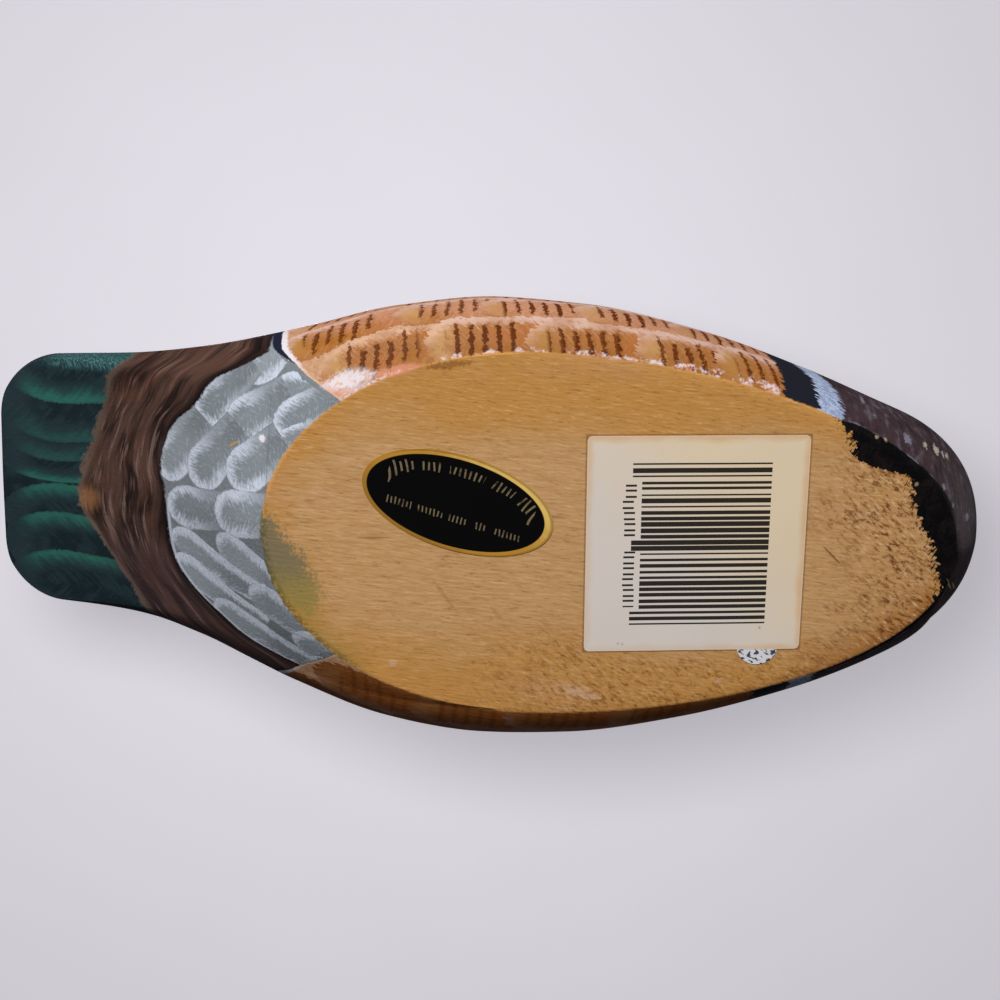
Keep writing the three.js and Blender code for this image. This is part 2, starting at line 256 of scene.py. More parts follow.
BELLY_FEATHERS = [
    Feather((-44.8, -24.9), (-38, -33), 3.6),
    Feather((-54.6, -16.2), (-45.2, -27), 3.6),
    Feather((-39.5, -23.8), (-29, -25.1), 3.2),
    Feather((-63.2, -4.3), (-54.8, -16), 4.2),
    Feather((-48.2, -15.6), (-37.6, -22.5), 4.2),
    Feather((-38.7, -17.2), (-30, -23), 3.4),
    Feather((-55.6, -4.6), (-46.8, -15.5), 4.2),
    Feather((-38.9, -14.4), (-34, -16.6), 2.2),
    Feather((-47.2, -6.6), (-38, -14.6), 4.2),
    Feather((-61.6, 1.4), (-48, -1.1), 4.2),
    Feather((-50.4, -0.6), (-38, -2.4), 4.4),
    Feather((-50, 3.8), (-39, 10.4), 3.2),
    Feather((-60.6, 6.2), (-42.5, 13), 3),
    Feather((-60.4, 11.4), (-41.8, 19.2), 3),
    Feather((-43.4, 12.4), (-28, 20.4), 3.2),
    Feather((-51.4, 18), (-32, 26), 2.8),
    Feather((-35, 20), (-24, 25), 2.6),
]
TAIL_TIP_LENGTH = 13
TAIL_FEATHERS = [
    Feather((-98.5, -4.5), (-60, -4.5), 4.5),
    Feather((-98, 6.8), (-60, 7.2), 6.8),
    Feather((-98, -10.4), (-60, -12.4), 6.8),
    Feather((-98, 12.8), (-60, 13.6), 7),
    Feather((-98, -15.2), (-60, -16), 7.3),
    Feather((-97.5, 21), (-60, 21.8), 7.2),
    Feather((-97.5, -23.4), (-60, -24.4), 7.8),
]
BACK_TIP_LENGTH = 8


def back_feathers():
    """Scapulars in rows over the back, then long folded wing feathers on each side."""
    feathers = []
    for row in range(7):
        x = -30 + 11 * row
        count = 3 + row % 2
        for i in range(count):
            y = (i - (count - 1) / 2) * 11
            feathers.append(Feather((x, y), (x + 17, y * 0.9), 6.2))
    for side in (-1, 1):
        for i in range(4):
            tip = (-60 + 11 * i, side * (12 + 5 * i))
            feathers.append(Feather(tip, (tip[0] + 44, side * (19 + 3.6 * i)), 4.6))
        for i in range(3):
            tip = (12 + 15 * i, side * (26 - 2 * i))
            feathers.append(Feather(tip, (tip[0] + 20, side * (25 - 2.4 * i)), 6))
    return feathers


# Cross-sections of the body

def rounding(t, power):
    """What a rounding leaves of a full width or height, from 1 at its start to 0 at its end."""
    return (1 - np.clip(t, 0, 1) ** power) ** (1 / power)


def towards_breast(x, start):
    return (x - start) / (BREAST_FRONT - start)


def base_half_width(x):
    """Half the width of the flat base: two half ovals that meet at the widest place."""
    behind = x < BASE_WIDEST_AT
    reach = np.where(behind, BASE_WIDEST_AT - BASE_REAR, BASE_FRONT - BASE_WIDEST_AT)
    power = np.where(behind, BASE_REAR_POWER, BASE_FRONT_POWER)
    return BASE_HALF_WIDTH * np.sqrt(np.clip(1 - (np.abs(x - BASE_WIDEST_AT) / reach) ** power, 0, 1))


def half_sections(x):
    """Y and Z of half a cross-section at each x, from the keel round to the spine."""
    x = np.asarray(x, float)[:, None]
    in_front = np.maximum(0, towards_breast(x, BASE_FRONT))
    bow = rounding(towards_breast(x, BREAST_FRONT - BREAST_PLAN_RUN), BREAST_PLAN_POWER)
    brow = rounding(towards_breast(x, BREAST_FRONT - BREAST_BROW_RUN), BREAST_BROW_POWER)
    corner = rounding(1 - (x - TAIL_END) / TAIL_CORNER_RUN, TAIL_CORNER_POWER)
    corner = TAIL_END_SHARE + (1 - TAIL_END_SHARE) * corner
    base = base_half_width(x)
    middle_z = widest_height(x)
    stem_z = BREAST_FRONT_HEIGHT * (1 - (1 - in_front) ** (1 / STEM_POWER))
    bottom_z = np.where(x < BASE_REAR, underside_height(x), np.minimum(stem_z, middle_z))
    has_chine = x <= CHINE_FRONT
    chine = np.where(has_chine, np.maximum(base, chine_half_width(x) * corner), base)
    chine_z = np.where(has_chine, chine_height(x), bottom_z)
    widest = widest_half_width(x) * bow * corner
    top_z = middle_z + (back_height(x) - middle_z) * brow
    start_angle = FLANK_START_ANGLE * (1 - in_front)

    across_base = np.arange(BASE_COLUMNS) / BASE_COLUMNS
    across_underside = np.arange(UNDERSIDE_COLUMNS) / UNDERSIDE_COLUMNS
    flank_angle = start_angle + (math.pi / 2 - start_angle) * np.arange(FLANK_COLUMNS) / FLANK_COLUMNS
    back_angle = math.pi / 2 * np.arange(BACK_COLUMNS + 1) / BACK_COLUMNS
    reach = (widest - chine) / (1 - np.sin(start_angle))
    rise = (middle_z - chine_z) / np.cos(start_angle)
    y = np.hstack([
        base * across_base,
        base + (chine - base) * across_underside,
        widest - reach * (1 - np.sin(flank_angle)),
        widest * np.clip(np.cos(back_angle), 0, 1) ** BACK_ACROSS_POWER,
    ])
    z = np.hstack([
        bottom_z + 0 * across_base,
        bottom_z + (chine_z - bottom_z) * across_underside**UNDERSIDE_BOW,
        middle_z - rise * np.cos(flank_angle),
        middle_z + (top_z - middle_z) * np.sin(back_angle) ** BACK_UP_POWER,
    ])
    return y, z


def spaced(start, end, count, ease=None):
    """Places from start up to but not including end, closer together where the easing is slow."""
    t = np.arange(count) / count
    return start + (end - start) * (ease(t) if ease else t)


def slow_start(t):
    return 1 - np.cos(t * math.pi / 2)


def slow_end(t):
    return np.sin(t * math.pi / 2)


def body_stations():
    tail_root = TAIL_END + TAIL_CORNER_RUN
    return np.concatenate([
        spaced(TAIL_END, TAIL_END + TAIL_EDGE_RADIUS, 8, slow_start),
        spaced(TAIL_END + TAIL_EDGE_RADIUS, tail_root, 24),
        spaced(tail_root, BASE_REAR, 72),
        spaced(BASE_REAR, BASE_WIDEST_AT, 90, slow_start),
        spaced(BASE_WIDEST_AT, BASE_FRONT, 136, slow_end),
        spaced(BASE_FRONT, BREAST_FRONT, 36, slow_end),
        [BREAST_FRONT - 0.02],
    ])


def round_tail_edge(x, y, z):
    """Draws the last sections in, so that the tail's thin end has a round edge."""
    into = np.clip(TAIL_EDGE_RADIUS - (x - TAIL_END), 0, TAIL_EDGE_RADIUS)[:, None]
    inset = TAIL_EDGE_RADIUS - np.sqrt(TAIL_EDGE_RADIUS**2 - into**2)
    middle = (z[:, :1] + z[:, -1:]) / 2
    half = (z[:, -1:] - z[:, :1]) / 2
    width = y.max(axis=1, keepdims=True)
    return y * (width - inset) / width, middle + (z - middle) * (half - inset) / half


def neck_stump_height(x, y):
    """Height of the stump that rises from the back to the neck joint, as a soft hill."""
    dx, dy = x - NECK_AT, np.abs(y)
    distance = np.hypot(dx, dy) + 1e-6
    oval = np.hypot(dx / NECK_HALF_LENGTH, dy / NECK_HALF_WIDTH) + 1e-6
    out = distance * (1 - 1 / oval)
    share = np.clip(out / NECK_FLARE_OUT, 0, 1)
    return NECK_JOINT_HEIGHT - NECK_FLARE_DEPTH * share ** (1 / NECK_FLARE_POWER)


def smooth_max(a, b, blend):
    return np.log(np.exp((a - b) / blend) + 1) * blend + b


# Mesh work

def nothing_selected():
    bpy.ops.object.select_all(action="DESELECT")


def only(piece):
    nothing_selected()
    piece.select_set(True)
    bpy.context.view_layer.objects.active = piece


def apply_modifier(piece, kind, **settings):
    only(piece)
    modifier = piece.modifiers.new(kind.title(), kind)
    for key, value in settings.items():
        setattr(modifier, key, value)
    bpy.ops.object.modifier_apply(modifier=modifier.name)


def points_of(piece):
    """The piece's vertices in millimetres as drawn."""
    mesh = piece.data
    points = np.empty(len(mesh.vertices) * 3)
    mesh.vertices.foreach_get("co", points)
    return points.reshape(-1, 3) / MM


def set_points(piece, points):
    piece.data.vertices.foreach_set("co", (np.asarray(points) * MM).ravel())
    piece.data.update()


def add_field(piece, name, values):
    """Keeps one value, or a vector, for each vertex under a name that a material can read."""
    values = np.asarray(values, np.float32)
    kind, key = ("FLOAT_VECTOR", "vector") if values.ndim == 2 else ("FLOAT", "value")
    piece.data.attributes.new(name, kind, "POINT").data.foreach_set(key, values.ravel())


def weld(piece):
    """Closes the seams and poles and turns every face outwards."""
    only(piece)
    bpy.ops.object.mode_set(mode="EDIT")
    bpy.ops.mesh.select_all(action="SELECT")
    bpy.ops.mesh.remove_doubles(threshold=0.01 * MM)
    bpy.ops.mesh.normals_make_consistent(inside=False)
    bpy.ops.object.mode_set(mode="OBJECT")


def loft(name, rings, fields=None):
    """A closed skin over rings of points: a flat grid is bent round them and welded."""
    rows, columns = rings.shape[:2]
    nothing_selected()
    bpy.ops.mesh.primitive_grid_add(x_subdivisions=rows - 1, y_subdivisions=columns - 1, size=1)
    piece = bpy.context.object
    piece.name = piece.data.name = name
    flat = points_of(piece) * MM + 0.5
    row = np.rint(flat[:, 0] * (rows - 1)).astype(int)
    column = np.rint(flat[:, 1] * (columns - 1)).astype(int)
    set_points(piece, rings[row, column])
    for field, values in (fields or {}).items():
        add_field(piece, field, values[row, column])
    weld(piece)
    return piece


def closed_ring(half):
    """Left half, then the right half back to the start, for arrays of (rows, columns)."""
    return np.hstack([half, half[:, -2::-1]])


def finished(piece, coat, slot, *nodes, sharp_degrees=35):
    """Smooths, paints and places a finished piece in the frame."""
    only(piece)
    bpy.ops.object.shade_smooth_by_angle(angle=math.radians(sharp_degrees))
    piece.data.materials.clear()
    piece.data.materials.append(coat.material)
    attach(piece, "root")
    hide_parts(*nodes)
    return piece


# Feathers laid out on the surface

def feather_fields(first, second, feathers, tip_length, here, layers):
    """Fills, where here is true, each layer's (along, across, number) and edge for the feathers in it.

    Along is 0 at the tip and 1 where the round tip ends. Across is -1 to 1. Edge is 1 just outside a
    feather. Feathers that touch are put in different layers, so that no layer jumps inside a feather.
    """
    for number, feather in enumerate(feathers, 1):
        tip, root = np.array(feather.tip, float), np.array(feather.root, float)
        length = np.linalg.norm(root - tip)
        axis = (root - tip) / length
        along = (first - tip[0]) * axis[0] + (second - tip[1]) * axis[1]
        across = ((second - tip[1]) * axis[0] - (first - tip[0]) * axis[1]) / feather.half_width
        past_ends = np.abs(along - length / 2) / (length / 2 + FEATHER_MARGIN)
        edge = np.maximum(past_ends, np.abs(across) / FEATHER_MARGIN)
        claimed = here & (edge < FEATHER_CLAIMED_WITHIN)
        free = [layer for layer in layers if not layer["claimed"][claimed].any()]
        if not free:
            raise RuntimeError("Too many feathers touch: FEATHER_LAYERS is too small")
        layer = free[0]
        layer["claimed"] |= claimed
        place = np.stack([along / tip_length, across, np.full_like(along, number)], axis=-1)
        layer["place"][claimed] = place[claimed]
        layer["edge"][claimed] = edge[claimed]


def paint_fields(x, y, z, up_flank):
    """Every named field that the body's paint reads, from the vertices' places."""
    side = np.abs(y)
    base_inset = np.where(x < BASE_FRONT, base_half_width(x) - side, BASE_FRONT - x)
    rear_reach = np.hypot((x - BASE_WIDEST_AT) / (BASE_WIDEST_AT - BASE_REAR), y / BASE_HALF_WIDTH)
    base_inset = np.where(x < BASE_WIDEST_AT, (1 - rear_reach) * BASE_HALF_WIDTH, base_inset)
    widest_up = up_flank[:, WIDEST_COLUMN : WIDEST_COLUMN + 1]
    above_flank = up_flank - widest_up - flank_top_rise(x)
    tail_side = tail_line(y) - x
    flank_side = x - flank_rear_line(up_flank)
    before_bar = black_bar_line(up_flank) - x
    layers = [{
        "claimed": np.zeros(x.shape, bool),
        "place": np.full(x.shape + (3,), (-9.0, 9.0, 0.0)),
        "edge": np.full(x.shape, 3.0),
    } for _ in range(FEATHER_LAYERS)]
    on_back = above_flank > 0
    on_flank = ~on_back & (flank_side > -1) & (before_bar > -1)
    beneath = ~on_back & ~on_flank & (x < 0)
    feather_fields(x, up_flank, FLANK_FEATHERS, FLANK_TIP_LENGTH, on_flank, layers)
    feather_fields(x, y, BELLY_FEATHERS, BELLY_TIP_LENGTH, beneath & (tail_side < 0), layers)
    feather_fields(x, y, TAIL_FEATHERS, TAIL_TIP_LENGTH, (beneath | on_back) & (tail_side > -2), layers)
    feather_fields(x, y, back_feathers(), BACK_TIP_LENGTH, on_back & (tail_side < -4), layers)
    fields = {
        "base_inset": base_inset,
        "up_flank": up_flank,
        "above_flank": above_flank,
        "tail_side": tail_side,
        "belly_side": x - belly_line(y),
        "flank_side": flank_side,
        "before_bar": before_bar,
        "rump_share": (x - tail_line(y)) / (belly_line(y) - tail_line(y)),
        "black_spill": x - black_spill_line(y),
        "breast_up": np.where(x > 80, np.maximum(up_flank, z), up_flank) - breast_black_line(x),
        "olive_patch": inside(OLIVE_PATCH, x, y),
    }
    for i, layer in enumerate(layers):
        fields[f"feather_{i}"] = layer["place"]
        fields[f"feather_edge_{i}"] = layer["edge"]
    return fields


# Materials

def swatch(red, green, blue):
    """A colour as paint on a screen shows it, 0 to 255, turned into light."""
    def light(value):
        share = value / 255
        return share / 12.92 if share <= 0.04045 else ((share + 0.055) / 1.055) ** 2.4
    return (light(red), light(green), light(blue))


class Flow:
    """A value on its way through a material's nodes, with the usual arithmetic."""

    def __init__(self, coat, socket):
        self.coat, self.socket = coat, socket

    def __add__(self, other):
        return self.coat.math("ADD", self, other)

    def __sub__(self, other):
        return self.coat.math("SUBTRACT", self, other)

    def __rsub__(self, other):
        return self.coat.math("SUBTRACT", other, self)

    def __mul__(self, other):
        return self.coat.math("MULTIPLY", self, other)

    __radd__, __rmul__ = __add__, __mul__


class Coat:
    """A paint or finish: one material, and short words for the nodes that it is mixed from."""

    def __init__(self, name, **constants):
        self.material = bpy.data.materials.new(name)
        self.material.use_nodes = True
        self.nodes = self.material.node_tree.nodes
        self.links = self.material.node_tree.links
        self.nodes.clear()
        self.skin = self.nodes.new("ShaderNodeBsdfPrincipled")
        output = self.nodes.new("ShaderNodeOutputMaterial")
        self.links.new(self.skin.outputs["BSDF"], output.inputs["Surface"])
        for key, value in constants.items():
            self.skin.inputs[key.replace("_", " ")].default_value = value
        self.shared = {}

    def feed(self, socket, value):
        if isinstance(value, Flow):
            self.links.new(value.socket, socket)
        elif isinstance(value, tuple) and socket.type == "RGBA":
            socket.default_value = (*value[:3], 1)
        else:
            socket.default_value = value

    def node(self, kind, inputs, output=0, **settings):
        made = self.nodes.new(kind)
        for key, value in settings.items():
            setattr(made, key, value)
        for key, value in inputs.items():
            self.feed(made.inputs[key], value)
        return Flow(self, made.outputs[output])

    def math(self, operation, *values):
        return self.node("ShaderNodeMath", dict(enumerate(values)), operation=operation)

    def size_of(self, value):
        return self.math("ABSOLUTE", value)

    def most(self, first, *others):
        for other in others:
            first = self.math("MAXIMUM", first, other)
        return first

    def mix(self, share, under, over, how="MIX"):
        inputs = {0: share, 6: under, 7: over}
        return self.node("ShaderNodeMix", inputs, 2, data_type="RGBA", blend_type=how)

    def fade(self, value, start, end):
        """0 at start and 1 at end, with soft ends. Start may be above end."""
        inputs = {"Value": value, "From Min": start, "From Max": end}
        return self.node("ShaderNodeMapRange", inputs, interpolation_type="SMOOTHSTEP")

    def field(self, name):
        if name not in self.shared:
            self.shared[name] = self.node("ShaderNodeAttribute", {}, "Fac", attribute_name=name)
        return self.shared[name]

    def field_parts(self, name):
        vector = self.node("ShaderNodeAttribute", {}, "Vector", attribute_name=name)
        return self.parts(vector)

    def parts(self, vector):
        made = self.nodes.new("ShaderNodeSeparateXYZ")
        self.links.new(vector.socket, made.inputs[0])
        return [Flow(self, output) for output in made.outputs]

    def join(self, x, y, z):
        return self.node("ShaderNodeCombineXYZ", {0: x, 1: y, 2: z})

    def place(self):
        """X, Y and Z of each point, in millimetres as drawn, from its Object coordinates."""
        if "place" not in self.shared:
            corner = self.node("ShaderNodeTexCoord", {}, "Object")
            inputs = {0: corner, "Scale": 1 / MM}
            self.shared["place"] = self.node("ShaderNodeVectorMath", inputs, operation="SCALE")
        return self.shared["place"]

    def place_parts(self):
        if "place parts" not in self.shared:
            self.shared["place parts"] = self.parts(self.place())
        return self.shared["place parts"]

    def noise(self, size, stretch=(1, 1, 1), shift=0.0, turn=0.0, detail=2, roughness=0.5):
        """Soft noise, 0 to 1, in lumps of size millimetres, drawn out along stretch, turned about Z."""
        scale = tuple(1 / (size * share) for share in stretch)
        turned = self.place()
        if turn:
            inputs = {"Vector": turned, "Rotation": (0, 0, -math.radians(turn))}
            turned = self.node("ShaderNodeMapping", inputs)
        inputs = {"Vector": turned, "Scale": scale, "Location": (shift,) * 3}
        return self.noise_at(self.node("ShaderNodeMapping", inputs), detail, roughness)

    def noise_at(self, vector, detail=2, roughness=0.5):
        inputs = {"Vector": vector, "Scale": 1, "Detail": detail, "Roughness": roughness}
        return self.node("ShaderNodeTexNoise", inputs, "Fac")

    def chance(self, value):
        """A fixed random share, 0 to 1, for each whole number."""
        return self.node("ShaderNodeTexWhiteNoise", {"W": value}, "Value", noise_dimensions="1D")

    def length_of(self, across, up):
        return self.math("SQRT", across * across + up * up)

    def from_spot(self, x0, y0):
        """Distance from a place in plan."""
        x, y, _ = self.place_parts()
        return self.length_of(x - x0, y - y0)

    def spots(self, places, ragged):
        """1 inside round spots given as (x, y, radius), with ragged rims."""
        marks = [self.fade(self.from_spot(x, y) + ragged, r + 0.25, r - 0.25) for x, y, r in places]
        return self.most(*marks)

    def scratch(self, start, end, half_width, ragged=0.0):
        """1 on a straight scratch or smear between two places in plan, thinner towards its ends."""
        x, y, _ = self.place_parts()
        run = Vector(end) - Vector(start)
        axis = run.normalized()
        along = (x - start[0]) * axis[0] + (y - start[1]) * axis[1]
        aside = self.size_of((y - start[1]) * axis[0] - (x - start[0]) * axis[1])
        off_middle = self.size_of(along * (2 / run.length) - 1)
        out = aside + off_middle * off_middle * half_width + ragged
        return self.fade(out, half_width, half_width * 0.3)

    def bump(self, height, distance, strength=1.0):
        """Height from 0 to 1 over a depth in millimetres."""
        inputs = {"Height": height, "Distance": distance * MM, "Strength": strength}
        self.feed(self.skin.inputs["Normal"], self.node("ShaderNodeBump", inputs))

    def colour(self, value):
        self.feed(self.skin.inputs["Base Color"], value)

    def roughness(self, value):
        self.feed(self.skin.inputs["Roughness"], value)


class TopFeather(NamedTuple):
    """The feather on top at each point of the paint, as flows."""

    along: Flow
    across: Flow
    reach: Flow
    barbs: Flow
    number: Flow
    covered: Flow


def top_feather(coat, ragged):
    """Finds the feather that is painted over the others at each point.

    Its along, across and reach (1 at its outline), its barbs (fine strokes that slant from the quill to
    the outline), its number and whether there is one.
    """
    layers = []
    for layer in range(FEATHER_LAYERS):
        along, across, number = coat.field_parts(f"feather_{layer}")
        ahead = coat.most(1 - along, 0)
        tapered = across * (coat.most(along - 1, 0) * FEATHER_TAPER + 1)
        reach = coat.length_of(ahead, tapered) + ragged
        near = coat.math("LESS_THAN", coat.field(f"feather_edge_{layer}"), FEATHER_SHOWN_WITHIN)
        shown = coat.math("LESS_THAN", reach, 1) * near * number
        layers.append((along, across, reach, shown))
    top = coat.most(*(layer[3] for layer in layers))
    chosen = [coat.math("COMPARE", layer[3], top, 0.4) for layer in layers]
    covered = coat.math("GREATER_THAN", top, 0.5)

    def of_top(index):
        total = chosen[0] * layers[0][index]
        for pick, layer in zip(chosen[1:], layers[1:]):
            total = total + pick * layer[index]
        return total * covered

    along, across, reach = of_top(0), of_top(1), of_top(2)
    strand = coat.join((along * 6 + coat.size_of(across) * 3.4) * 1.9, across * 1.1, top * 13)
    barbs = coat.noise_at(strand, detail=2, roughness=0.6)
    return TopFeather(along, across, reach, barbs, top, covered)


class Brush(NamedTuple):
    """The noise that mottles the paint and frays its edges, as flows. The last two are 0 on average."""

    fine: Flow
    soft: Flow
    hair: Flow
    teeth: Flow
    ragged: Flow
    bristled: Flow


def brush_noise(coat):
    """Fine and soft mottling, hairs that slant and teeth that are drawn out along the bars."""
    fine = coat.noise(0.8, detail=3, roughness=0.65)
    soft = coat.noise(4.0, detail=2, shift=2.0)
    hair = coat.noise(0.35, stretch=(1, 3, 1), turn=25, detail=2, shift=5.0)
    teeth = coat.noise(0.5, stretch=(4, 1, 1), turn=28, detail=2, shift=6.0)
    ragged = (fine - 0.5) * 1.6
    return Brush(fine, soft, hair, teeth, ragged, ragged + (hair - 0.5) * 1.4)


def flank_paint(coat, palette, brush, feather, bar_spacing):
    """Buff feathers, golden below and pink above, with pale tips, pale upper edges and dark bars.
    Painted shade lies along each feather's lower outline, and low on the left flank, where the bars are
    muted too.
    """
    along, across, reach, barbs, number, covered = feather
    _, y, _ = coat.place_parts()
    up = coat.field("up_flank")
    drift = brush.soft - 0.5
    tone = coat.chance(number)
    golden = coat.fade(across + drift * 1.4, 0.6, -0.7) * 0.85
    body = coat.mix(golden, palette.flank_buff, palette.flank_gold)
    body = coat.mix(coat.fade(along + drift * 5, 1.8, 3.4) * 0.4, body, palette.flank_orange)
    body = coat.mix(coat.fade(up + drift * 6, 5, 11) * 0.75, body, palette.flank_pink)
    body = coat.mix(coat.fade(barbs, 0.5, 0.72) * 0.16, body, palette.flank_rim)
    body = coat.mix(coat.fade(brush.fine, 0.48, 0.28) * 0.4, body, palette.flank_deep)
    tip = coat.mix(coat.fade(tone + drift, 0.3, 0.7), palette.flank_cream, palette.flank_ochre)
    loose = (barbs - 0.5) * 0.5 + (brush.fine - 0.5) * 0.45
    pale = coat.fade(along + loose * 2 + drift * 0.8, 0.95, 0.35)
    body = coat.mix(pale * coat.fade(reach + loose, 1.05, 0.5) * 0.68, body, tip)
    upper = coat.fade(across + drift, -0.2, 0.6) * 0.9 + 0.1
    edge = coat.fade(reach + loose, 0.5, 0.86) * upper * (coat.fade(brush.soft, 0.3, 0.6) * 0.5 + 0.5)
    rim = coat.mix(coat.fade(up, 3, 9), palette.flank_rim, palette.flank_frost)
    body = coat.mix(edge * 0.7, body, rim)
    # Painted shade just inside each feather's lower outline
    cast = coat.fade(reach + (brush.fine - 0.5) * 0.3, 0.88, 1.0) * coat.fade(across, 0.3, -0.4)
    body = coat.mix(cast * 0.3, body, palette.flank_deep)
    # Painted shade: the flank's left side is darkened low down, and its bars are muted there
    left_flank_painted_shade = coat.fade(y, -5, 5) * coat.fade(up + drift * 6, 15, 9)
    body = coat.mix(left_flank_painted_shade * 0.6, body, palette.flank_deep)
    bars = flank_bars(coat, feather, tone, bar_spacing) * (1 - left_flank_painted_shade * 0.6)
    under = coat.mix(brush.fine, palette.flank_gold, palette.flank_rim)
    return coat.mix(covered, under, coat.mix(bars, body, palette.flank_bar))


def flank_bars(coat, feather, tone, spacing):
    """How strongly each point lies in one of the dark jagged bars across a flank feather."""
    along, across, number = feather.along, feather.across, feather.number
    x, _, _ = coat.place_parts()
    rough = coat.chance(coat.math("FLOOR", along * 2.65 + tone) + number * 5) - 0.5
    slant = coat.fade(x, 15, -30) * (coat.fade(coat.field("up_flank"), 5, 9) * 0.4 + 0.4)
    bowed = across * across * 0.14 - across * slant + across * rough * 0.12
    step = along * (FLANK_TIP_LENGTH / spacing) + bowed + tone
    jitter = coat.chance(coat.math("FLOOR", step) + number * 17)
    wobble = coat.noise_at(coat.join(along * 7, across * 6, number * 3), detail=2, roughness=0.7) - 0.5
    off_bar = coat.size_of(coat.math("FRACT", step) - 0.5)
    thin = across * across * 0.12 - jitter * 0.06
    bar = coat.fade(off_bar + wobble * 0.8 + thin, 0.19, 0.11)
    bar = bar * coat.fade(coat.size_of(across + (jitter - 0.5) * 0.5) + wobble * 0.5, 0.74, 0.56)
    bar = bar * coat.fade(along, 0.55, 0.72) * coat.fade(along, 2.8, 2.6)
    return bar * (jitter * 0.08 + 0.9)


def belly_paint(coat, palette, brush, feather):
    """Grey feathers, brushed pale towards their tips and edges with short fine strokes, and patchy
    painted shade just inside each outline.
    """
    along, across, reach, barbs, number, covered = feather
    _, y, _ = coat.place_parts()
    tone = coat.chance(number)
    short = coat.join(along * 13 + coat.size_of(across) * 5, across * 3.6, number * 7)
    strokes = coat.noise_at(short, detail=2, roughness=0.65)
    body = coat.mix(tone, palette.belly_grey, palette.belly_dark)
    body = coat.mix(coat.fade(along, 1.6, 3.0) * 0.6, body, palette.belly_shadow)
    body = coat.mix(coat.fade(strokes, 0.5, 0.72) * 0.25, body, palette.belly_pale)
    one_sided = coat.fade(y, 2, 6) * coat.math("MAXIMUM", across, -0.4)
    loose = (barbs - 0.5) * 0.5 + (strokes - 0.5) * 0.7 + (brush.soft - 0.5) * 0.6
    width = coat.fade(along, 1.6, 0.2) * 0.16 + one_sided * 0.42
    sides = coat.most(coat.fade(along, 2.2, 0.9), coat.fade(y, 2, 7)) * 0.8 + 0.2
    edge = coat.fade(reach - width + loose, 0.3, 0.78) * sides
    body = coat.mix(edge * 0.95, body, palette.belly_pale)
    body = coat.mix(edge * coat.fade(strokes, 0.5, 0.36) * 0.5, body, palette.belly_grey)
    body = coat.mix(coat.fade(y, 3, 8) * 0.14, body, palette.belly_pale)
    # Patchy painted shade just inside each feather's outline
    cast = coat.fade(reach + (strokes - 0.5) * 0.2, 0.93, 1)
    cast = cast * coat.fade(brush.soft + (brush.fine - 0.5) * 0.6, 0.36, 0.56)
    body = coat.mix(cast * 0.6, body, palette.belly_shadow)
    ground = coat.mix(brush.fine, palette.belly_shadow, palette.belly_grey)
    painted = coat.mix(covered, ground, body)
    specks = coat.spots([BELLY_SPECK], (brush.fine - 0.5) * 0.8)
    painted = coat.mix(specks, painted, palette.flank_white)
    gold = coat.scratch(*BELLY_GOLD_FLECK)
    return coat.mix(gold * 0.8, painted, palette.foil_gold)


def tail_paint(coat, palette, brush, feather):
    """Slate teal feathers, dark along the middle, each with a soft emerald fringe on its inner edge."""
    along, across, reach, barbs, number, covered = feather
    x, y, _ = coat.place_parts()
    inner = coat.fade(across * coat.math("SIGN", y) * -1, 0.0, 0.7)
    strong = coat.most(coat.fade(y, -4, 0), coat.fade(y, -11, -15)) * 0.6 + 0.4
    loose = (barbs - 0.5) * 0.4 + (brush.soft - 0.5) * 0.3
    fringe = coat.fade(reach + loose, 0.42, 0.92) * inner * (coat.fade(reach, 1, 0.93) * 0.5 + 0.5)
    fringe = fringe * strong * coat.fade(along, 0.15, 0.6) * coat.fade(along, 2.3, 1.3)
    dark = coat.mix(brush.soft, palette.tail_dark, palette.tail_slate)
    dark = coat.mix(coat.fade(barbs, 0.5, 0.8) * 0.25, dark, palette.tail_teal)
    quill = coat.fade(reach + (barbs - 0.5) * 0.3, 0.72, 0.3)
    quill = quill * coat.fade(barbs + (brush.soft - 0.5), 0.3, 0.6)
    dark = coat.mix(quill * 0.7, dark, palette.tail_deep)
    lit = coat.mix(coat.fade(reach + loose, 0.6, 0.95), palette.tail_teal, palette.tail_emerald)
    painted = coat.mix(fringe * 0.9, dark, lit)
    hatch = coat.noise(0.24, stretch=(1, 6, 1), turn=-24, detail=1, shift=3.0)
    band = coat.fade(y, -22.4, -24.2) * coat.fade(x, -91, -84) * coat.fade(x, -67, -72)
    return coat.mix(band * (coat.fade(hatch, 0.44, 0.68) * 0.5 + 0.1), painted, palette.tail_pale)


